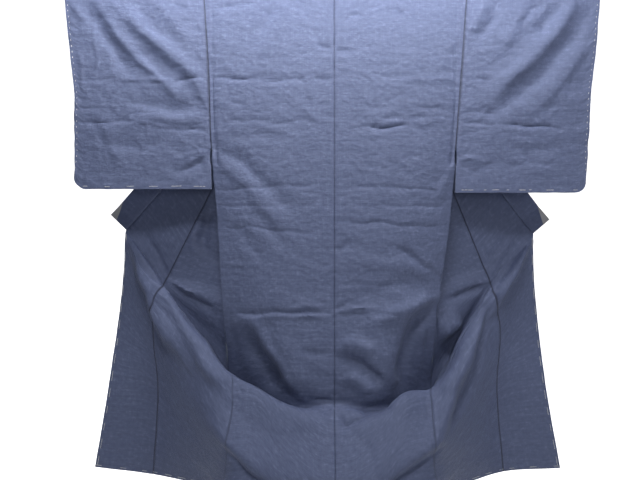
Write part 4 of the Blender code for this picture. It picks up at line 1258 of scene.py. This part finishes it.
class Finish:
    """A material being written, one node at a time."""

    def __init__(self, name):
        self.material = bpy.data.materials.new(name)
        self.material.use_nodes = True
        self.tree = self.material.node_tree

    def node(self, kind, settings, values):
        return add_node(self.tree, kind, settings, values)

    def set(self, **values):
        values = {key.replace("_", " "): value for key, value in values.items()}
        fill_sockets(self.tree, self.tree.nodes["Principled BSDF"].inputs, values)

    def number(self, node, output=0):
        return Value(self, node.outputs[output])

    def flat(self):
        """Place on the cut cloth in metres: the vector, then across and down."""
        uv = self.node("ShaderNodeUVMap", {"uv_map": "cut"}, {}).outputs[0]
        split = self.node("ShaderNodeSeparateXYZ", {}, {0: uv})
        return uv, self.number(split, 0), self.number(split, 1)

    def place(self):
        """Place on the piece in metres."""
        return self.node("ShaderNodeTexCoord", {}, {}).outputs["Object"]

    def noise(self, vector, scale, detail, stretch=(1, 1, 1)):
        settings = {"operation": "MULTIPLY"}
        vector = self.node("ShaderNodeVectorMath", settings, {0: vector, 1: stretch}).outputs[0]
        values = {"Vector": vector, "Scale": scale, "Detail": detail}
        return self.number(self.node("ShaderNodeTexNoise", {}, values))

    def mix(self, amount, first, second):
        settings = {"data_type": "RGBA", "clamp_factor": True}
        return self.node("ShaderNodeMix", settings, {0: amount, 6: first, 7: second}).outputs[2]

    def bump(self, height, distance, strength, **below):
        values = {"Height": height, "Distance": distance, "Strength": strength, **below}
        return self.node("ShaderNodeBump", {}, values).outputs[0]

# %% [markdown]
# ## Hand-woven indigo cloth
# The cloth is a plain weave of hand-spun thread. Threads vary in thickness and in how much dye
# they took, which shows as fine streaks both ways, with a few thicker slubs along the weft.
# It is matt with a soft bloom where light grazes it.
# %% Cloth materials
THREAD = 0.0009
INDIGO_DEEP = (0.053, 0.067, 0.134, 1)
INDIGO = (0.084, 0.104, 0.192, 1)
INDIGO_WORN = (0.150, 0.178, 0.285, 1)
LINING_DEEP = (0.10, 0.12, 0.16, 1)
LINING = (0.15, 0.175, 0.22, 1)
LINING_WORN = (0.20, 0.225, 0.27, 1)
THIN_GREY = (0.30, 0.30, 0.31, 1)
SHADOW = (0.012, 0.013, 0.030, 1)
BLOOM = (0.62, 0.70, 0.92, 1)
GLEAM = (0.80, 0.86, 1.0, 1)
# The thin grey corner at each end of the collar, across and along it
TIP_ACROSS = 0.022
TIP_ALONG = 0.049
# What the weave is made of: scale, detail, and how many times finer across, along and upwards
PATTERNS = {"warp": (1.0, 3.0, (900, 14, 1)), "weft": (1.0, 3.0, (22, 420, 1)),
            "bands": (1.0, 2.0, (9, 130, 1)), "slubs": (1.0, 1.0, (28, 700, 1)),
            "clouds": (6.0, 3.0), "mottle": (95.0, 4.0, (1, 1.3, 1)),
            "crumple": (20.0, 2.0, (1, 2.2, 1)), "patches": (7.0, 1.0),
            "wrinkle": (42.0, 3.0, (1, 1.5, 1))}
# How much each pattern changes the tone
TONES = {"warp": 0.55, "weft": 0.75, "bands": 0.45, "clouds": 0.35, "mottle": 1.1}
# Only the highest part of a pattern makes a slub or a worn patch; then how much that adds
SLUB_LEVEL, SLUB_TONE = 0.70, 0.22
WORN_LEVEL, WORN_GAIN = 0.66, 1.2
# How close the painted shade along seams and edges brings the colour to SHADOW
PAINTED_SHADE_TONE = 0.85
# How high the threads stand, and the small creases: distance and strength of each bump
CROSSING_RISE, WEFT_RISE, WARP_RISE = 0.5, 0.9, 0.5
THREAD_BUMP = (0.00035, 0.6)
CRUMPLE_GAIN, CRUMPLE_RISE, WRINKLE_RISE = 5.0, 0.45, 1.5
PATCH_LEVEL, PATCH_GAIN = 0.42, 3.0
CREASE_BUMP = (0.0026, 0.75)
MATT, MATT_CHANGE = 0.52, 0.2


def woven(name, deep, usual, worn, streaks, tips=False):
    """Plain-woven cloth in three tones of one colour."""
    finish = Finish(name)
    uv, across, down = finish.flat()
    warp, weft, bands, slubs, clouds, mottle = [
        finish.noise(uv, *PATTERNS[key]) for key in ("warp", "weft", "bands", "slubs", "clouds", "mottle")]
    tone = 0.5 + streaks * ((warp - 0.5) * TONES["warp"] + (weft - 0.5) * TONES["weft"]
                            + (bands - 0.5) * TONES["bands"])
    tone = tone + (clouds - 0.5) * TONES["clouds"] + (mottle - 0.5) * TONES["mottle"] * streaks
    slub = (slubs > SLUB_LEVEL) * SLUB_TONE
    colour = finish.mix(tone, deep, usual)
    colour = finish.mix((tone - WORN_LEVEL) * WORN_GAIN + slub, colour, worn)
    # Painted shade: along seams and the front edge the colour is pulled towards SHADOW
    painted_shade = finish.node("ShaderNodeAttribute", {"attribute_name": "painted_shade"}, {})
    colour = finish.mix(finish.number(painted_shade, "Fac") * PAINTED_SHADE_TONE, colour, SHADOW)
    if tips:
        tip = ((COLLAR_WIDTH * CM - across) / TIP_ACROSS + down / TIP_ALONG) < 1.0
        colour = finish.mix(tip, colour, THIN_GREY)
    turn = 2 * math.pi / THREAD
    crossing = (across * turn).wave() * (down * turn).wave()
    threads = crossing * CROSSING_RISE + weft * WEFT_RISE + warp * WARP_RISE + slub
    crumple = 1.0 - (finish.noise(uv, *PATTERNS["crumple"]) - 0.5).size() * CRUMPLE_GAIN
    patches = (finish.noise(uv, *PATTERNS["patches"]) - PATCH_LEVEL) * PATCH_GAIN
    wrinkle = finish.noise(uv, *PATTERNS["wrinkle"])
    creases = finish.bump(crumple * patches * CRUMPLE_RISE + wrinkle * WRINKLE_RISE, *CREASE_BUMP)
    normal = finish.bump(threads, *THREAD_BUMP, Normal=creases)
    finish.set(Base_Color=colour, Roughness=MATT + (weft - 0.5) * MATT_CHANGE, Normal=normal,
               Sheen_Weight=0.15, Sheen_Roughness=0.45, Sheen_Tint=BLOOM,
               Specular_IOR_Level=0.5, Specular_Tint=GLEAM)
    return finish.material


outer_cloth = woven("indigo_weave", INDIGO_DEEP, INDIGO, INDIGO_WORN, 1.35)
collar_cloth = woven("indigo_collar", INDIGO_DEEP, INDIGO, INDIGO_WORN, 1.2, tips=True)
lining_cloth = woven("blue_grey_lining", LINING_DEEP, LINING, LINING_WORN, 0.5)
for name, piece in pieces.items():
    for weave in (collar_cloth, collar_cloth) if name == "collar" else (outer_cloth, lining_cloth):
        piece.data.materials.append(weave)
print("Cloth materials:", outer_cloth.name, collar_cloth.name, lining_cloth.name)

# %% [markdown]
# ## Pale wooden rod
# The rod is a plain planed pole. Its grain runs along it, with darker late wood in long streaks.
# %% Rod
EARLY_WOOD = (0.42, 0.31, 0.20, 1)
LATE_WOOD = (0.66, 0.54, 0.38, 1)
PORE = (0.30, 0.21, 0.13, 1)
STREAKS = (1.0, 4.0, (3, 160, 160))
PORES = (1.0, 2.0, (40, 900, 900))
PORE_LEVEL, PORE_TONE = 0.66, 0.35
PLANED, PLANED_CHANGE = 0.42, 0.2
PORE_BUMP = (0.0004, 0.4)


def pale_wood():
    finish = Finish("pale_wood")
    place = finish.place()
    streak = finish.noise(place, *STREAKS)
    pores = finish.noise(place, *PORES)
    colour = finish.mix(streak, EARLY_WOOD, LATE_WOOD)
    colour = finish.mix((pores > PORE_LEVEL) * PORE_TONE, colour, PORE)
    finish.set(Base_Color=colour, Roughness=PLANED + streak * PLANED_CHANGE,
               Normal=finish.bump(pores, *PORE_BUMP))
    return finish.material


for slot in bpy.data.objects["rod"].material_slots:
    slot.material = pale_wood()
    print("The rod's material:", slot.material.name)

# %% [markdown]
# ## Basting stitches
# A stored kimono keeps the tailor's white basting along its free edges: two short stitches and
# a long one again and again under the sleeves, small ones down the cuffs, and long loose ones
# down the fronts and along the hem. A Geometry Nodes tree walks along a line just inside each
# edge and lays a bit of thread at every step.
# %% A tree that sews
RING_SIDES = 6
LONGEST_LINE = 10.0


def sewing_tree(thread):
    """The node tree, and the identifiers of its inputs by name."""
    tree = bpy.data.node_groups.new("sewing", "GeometryNodeTree")
    face = tree.interface
    face.new_socket("Line", in_out="INPUT", socket_type="NodeSocketGeometry")
    inputs = {}
    for label in ("Step", "Start", "Length", "Radius", "Shortest", "Longest", "Seed"):
        kind = "NodeSocketInt" if label == "Seed" else "NodeSocketFloat"
        inputs[label] = face.new_socket(label, in_out="INPUT", socket_type=kind).identifier
    face.new_socket("Stitches", in_out="OUTPUT", socket_type="NodeSocketGeometry")

    def grow(kind, values, **settings):
        return add_node(tree, kind, settings, values).outputs

    given = grow("NodeGroupInput", {})
    line = grow("GeometryNodeMeshToCurve", {"Mesh": given["Line"]})[0]
    ends = {"Curve": line, 4: given["Start"], 5: LONGEST_LINE}
    line = grow("GeometryNodeTrimCurve", ends, mode="LENGTH")[0]
    steps = grow("GeometryNodeResampleCurve", {"Curve": line, "Length": given["Step"]}, mode="LENGTH")[0]
    way = grow("GeometryNodeInputTangent", {})[0]
    turn = grow("FunctionNodeAlignRotationToVector", {"Vector": way}, axis="X")[0]
    spread = {2: given["Shortest"], 3: given["Longest"], "Seed": given["Seed"]}
    share = grow("FunctionNodeRandomValue", spread, data_type="FLOAT")[1]
    run = grow("ShaderNodeMath", {0: share, 1: given["Length"]}, operation="MULTIPLY")[0]
    size = grow("ShaderNodeCombineXYZ", {"X": run, "Y": 1.0, "Z": 1.0})[0]
    bit = grow("GeometryNodeCurvePrimitiveLine", {"Start": (-0.5, 0, 0), "End": (0.5, 0, 0)})[0]
    outline = {"Resolution": RING_SIDES, "Radius": given["Radius"]}
    ring = grow("GeometryNodeCurvePrimitiveCircle", outline)[0]
    bit = grow("GeometryNodeCurveToMesh", {"Curve": bit, "Profile Curve": ring, "Fill Caps": True})[0]
    laid = grow("GeometryNodeInstanceOnPoints",
                {"Points": steps, "Instance": bit, "Rotation": turn, "Scale": size})[0]
    real = grow("GeometryNodeRealizeInstances", {"Geometry": laid})[0]
    done = grow("GeometryNodeSetMaterial", {"Geometry": real, "Material": thread})[0]
    grow("NodeGroupOutput", {"Stitches": done})
    return tree, inputs


COTTON_GREY = (0.60, 0.60, 0.58, 1)
COTTON_WHITE = (0.85, 0.84, 0.80, 1)
FIBRES = (900.0, 3.0)
FIBRE_BUMP = (0.0002, 0.5)


def cotton():
    finish = Finish("white_cotton")
    fibres = finish.noise(finish.place(), *FIBRES)
    colour = finish.mix(fibres, COTTON_GREY, COTTON_WHITE)
    finish.set(Base_Color=colour, Roughness=0.85, Normal=finish.bump(fibres, *FIBRE_BUMP))
    return finish.material


white_cotton = cotton()
sewing, sewing_inputs = sewing_tree(white_cotton)
print("Inputs of the sewing tree:", ", ".join(sewing_inputs))

# %% [markdown]
# ## Where the stitches go
# Each line lies a few millimetres inside a free edge, on the outside of the cloth. Sizes are in
# centimetres: the step from one stitch to the next, where the first one starts, and its length.
# %% Lines of stitches
INSIDE_EDGE = 0.6
THREAD_RADIUS = 0.038
THREAD_RISE = 0.02
SHORTEST, LONGEST = 0.75, 1.25
FOOT_STITCHES = ((5.4, 1.3, 0.45), (5.4, 2.1, 0.45), (5.4, 3.2, 1.1))
CUFF_STITCHES = ((1.4, 1.0, 0.35),)
EDGE_STITCHES = ((4.3, 2.0, 2.3),)
# The last rows of points, from the edge inwards
EDGE_ROWS = slice(None, -9, -1)


def inside_edge(rows):
    """Points on the outside of the cloth, a little inside an edge; the rows run inwards from it."""
    points = cloth.points[rows]
    facing = outward[rows]
    gone = lengths(points)
    line = []
    for c in range(points.shape[1]):
        place, out = [np.array([np.interp(INSIDE_EDGE, gone[:, c], kind[:, c, k]) for k in range(3)])
                      for kind in (points, facing)]
        line.append(place + out / np.linalg.norm(out) * (HALF_WALL + THREAD_RISE))
    return np.array(line) * CM


def sewn_line(points, stitches, seed):
    """The stitches of one kind along one line, as a plain mesh."""
    mesh = bpy.data.meshes.new("line")
    mesh.from_pydata(points.tolist(), [(k, k + 1) for k in range(len(points) - 1)], [])
    line = to_scene("line", mesh)
    modifier = line.modifiers.new("sewing", "NODES")
    modifier.node_group = sewing
    step, start, length = stitches
    values = {"Step": step * CM, "Start": start * CM, "Length": length * CM, "Radius": THREAD_RADIUS * CM,
              "Shortest": SHORTEST, "Longest": LONGEST, "Seed": seed}
    for label, value in values.items():
        modifier[sewing_inputs[label]] = value
    made = bpy.data.meshes.new_from_object(line.evaluated_get(bpy.context.evaluated_depsgraph_get()))
    line.modifiers.remove(modifier)
    bpy.data.objects.remove(line)
    return made


def baste(piece_name, lines_of_stitches):
    """All the basting on one piece, as one object."""
    joined = bmesh.new()
    for seed, (rows, kinds) in enumerate(lines_of_stitches):
        for stitches in kinds:
            joined.from_mesh(sewn_line(inside_edge(rows), stitches, seed))
    mesh = bpy.data.meshes.new(piece_name + "_basting")
    joined.to_mesh(mesh)
    joined.free()
    mesh.materials.clear()
    mesh.materials.append(white_cotton)
    print(f"  {mesh.name}: {len(mesh.polygons)} faces")
    return to_scene(mesh.name, mesh)


basting = {}
for label in SIDES:
    near, okumi, front, back = [lines[label][key] for key in ("near", "okumi", "front", "back")]
    foot = near[EDGE_ROWS, 2:-CORNER_COLUMNS]
    cuff_edge = near[2:-CORNER_COLUMNS, EDGE_ROWS].T
    front_edge = okumi[LIP_ROW - POINT_ROW + 2:-2, EDGE_ROWS].T
    for part, sewn in (
            ("sleeve", ((foot, FOOT_STITCHES), (cuff_edge, CUFF_STITCHES))),
            ("okumi", ((front_edge, EDGE_STITCHES), (okumi[EDGE_ROWS, 1:-3], EDGE_STITCHES))),
            ("body", ((front[EDGE_ROWS, 1:SEAM_COLUMN], EDGE_STITCHES),
                      (back[EDGE_ROWS, 1:-1], EDGE_STITCHES)))):
        basting[f"{label}_{part}"] = baste(f"{label}_{part}", sewn)

# %% [markdown]
# ## The wall, the light and the camera
# The garment hangs in front of a white wall that the picture shows burnt out. The light comes
# from above and in front, strong near the shoulders and fading downwards.
# %% Stage
FLOOR = -2.4
WALL = 3.4
HALF = 4.0
FLOOR_WHITE = (0.86, 0.86, 0.85, 1)
WALL_WHITE = (0.95, 0.95, 0.95, 1)
FLOOR_GLOW = 0.42
WALL_GLOW = 1.0


def glowing(name, colour, glow):
    """A plain matt finish that shines a little itself."""
    finish = Finish(name)
    finish.set(Base_Color=colour, Roughness=0.9, Emission_Color=colour, Emission_Strength=glow)
    return finish.material


def backdrop(name, low, high, material):
    """A plain sheet between two opposite corners."""
    mesh = bpy.data.meshes.new(name)
    corners = [low, (high[0], *low[1:]), high, (low[0], *high[1:])]
    mesh.from_pydata(corners, [], [FORWARD])
    mesh.materials.append(material)
    to_scene(name, mesh)


pale_floor = glowing("pale_floor", FLOOR_WHITE, FLOOR_GLOW)
white_wall = glowing("white_wall", WALL_WHITE, WALL_GLOW)
backdrop("floor", (-HALF, -HALF, FLOOR), (HALF, WALL, FLOOR), pale_floor)
backdrop("wall", (-HALF, WALL, FLOOR), (HALF, WALL, HALF), white_wall)
print("Backdrops: a floor at", FLOOR, "and a wall at", WALL)

# %% Lights
# Each soft light: where it is, what it is aimed at, how wide and high it is, and its power
LIGHTS = {
    "strip": ((-0.05, -0.26, 0.18), (-0.05, 0.0, -0.25), (1.3, 0.10), 9.5),
    "key": ((-0.2, -1.35, 0.85), (0.0, 0.0, -0.6), (0.6, 0.25), 18.5),
    "front": ((0.0, -2.5, -0.4), (0.0, 0.0, -0.7), (0.6, 0.6), 12),
    "right": ((1.5, -1.2, 0.7), (0.1, 0.0, -0.5), (0.8, 0.8), 3.5),
    "low_right": ((1.6, -0.9, -0.3), (0.1, 0.0, -0.8), (0.6, 0.8), 4),
    "behind": ((0.6, 2.4, 1.2), (0.0, 0.1, -0.6), (1.5, 1.0), 30),
}
ROOM_LIGHT = (0.90, 0.94, 1.0, 1)
ROOM_POWER = 0.06


def soft_light(name, place, aim, size, power):
    light = bpy.data.lights.new(name, "AREA")
    light.shape = "RECTANGLE"
    light.size, light.size_y = size
    light.energy = power
    thing = to_scene(name, light)
    thing.location = place
    thing.rotation_euler = (Vector(aim) - Vector(place)).to_track_quat("-Z", "Y").to_euler()


for name, settings in LIGHTS.items():
    soft_light(name, *settings)
world = bpy.data.worlds.new("room")
world.use_nodes = True
fill_sockets(world.node_tree, world.node_tree.nodes["Background"].inputs,
             {"Color": ROOM_LIGHT, "Strength": ROOM_POWER})
bpy.context.scene.world = world
bpy.context.scene.view_settings.view_transform = "Standard"
print("Lights:", ", ".join(LIGHTS))

# %% Camera
CAMERA_PLACE = (-0.035, -1.80, -0.609)
CAMERA_LENS = 41
FILM_WIDTH = 36
camera = bpy.data.cameras.new("camera")
camera.sensor_width = FILM_WIDTH
camera.lens = CAMERA_LENS
eye = to_scene("camera", camera)
eye.location = CAMERA_PLACE
eye.rotation_euler = (math.pi / 2, 0, 0)
bpy.context.scene.camera = eye

# %% [markdown]
# ## Attaching the pieces
# Every cloth piece takes the place of its solid, which is hidden, and rides with the garment.
# %% Attach the pieces
print("Sheets:", len(pieces), "with basting on", len(basting))
for threads in basting.values():
    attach(threads, "root")
for name, piece in pieces.items():
    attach(piece, "root")
    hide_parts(name)
    if name.endswith("body"):
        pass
    elif name.endswith("okumi"):
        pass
    elif name.endswith("sleeve"):
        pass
    else:
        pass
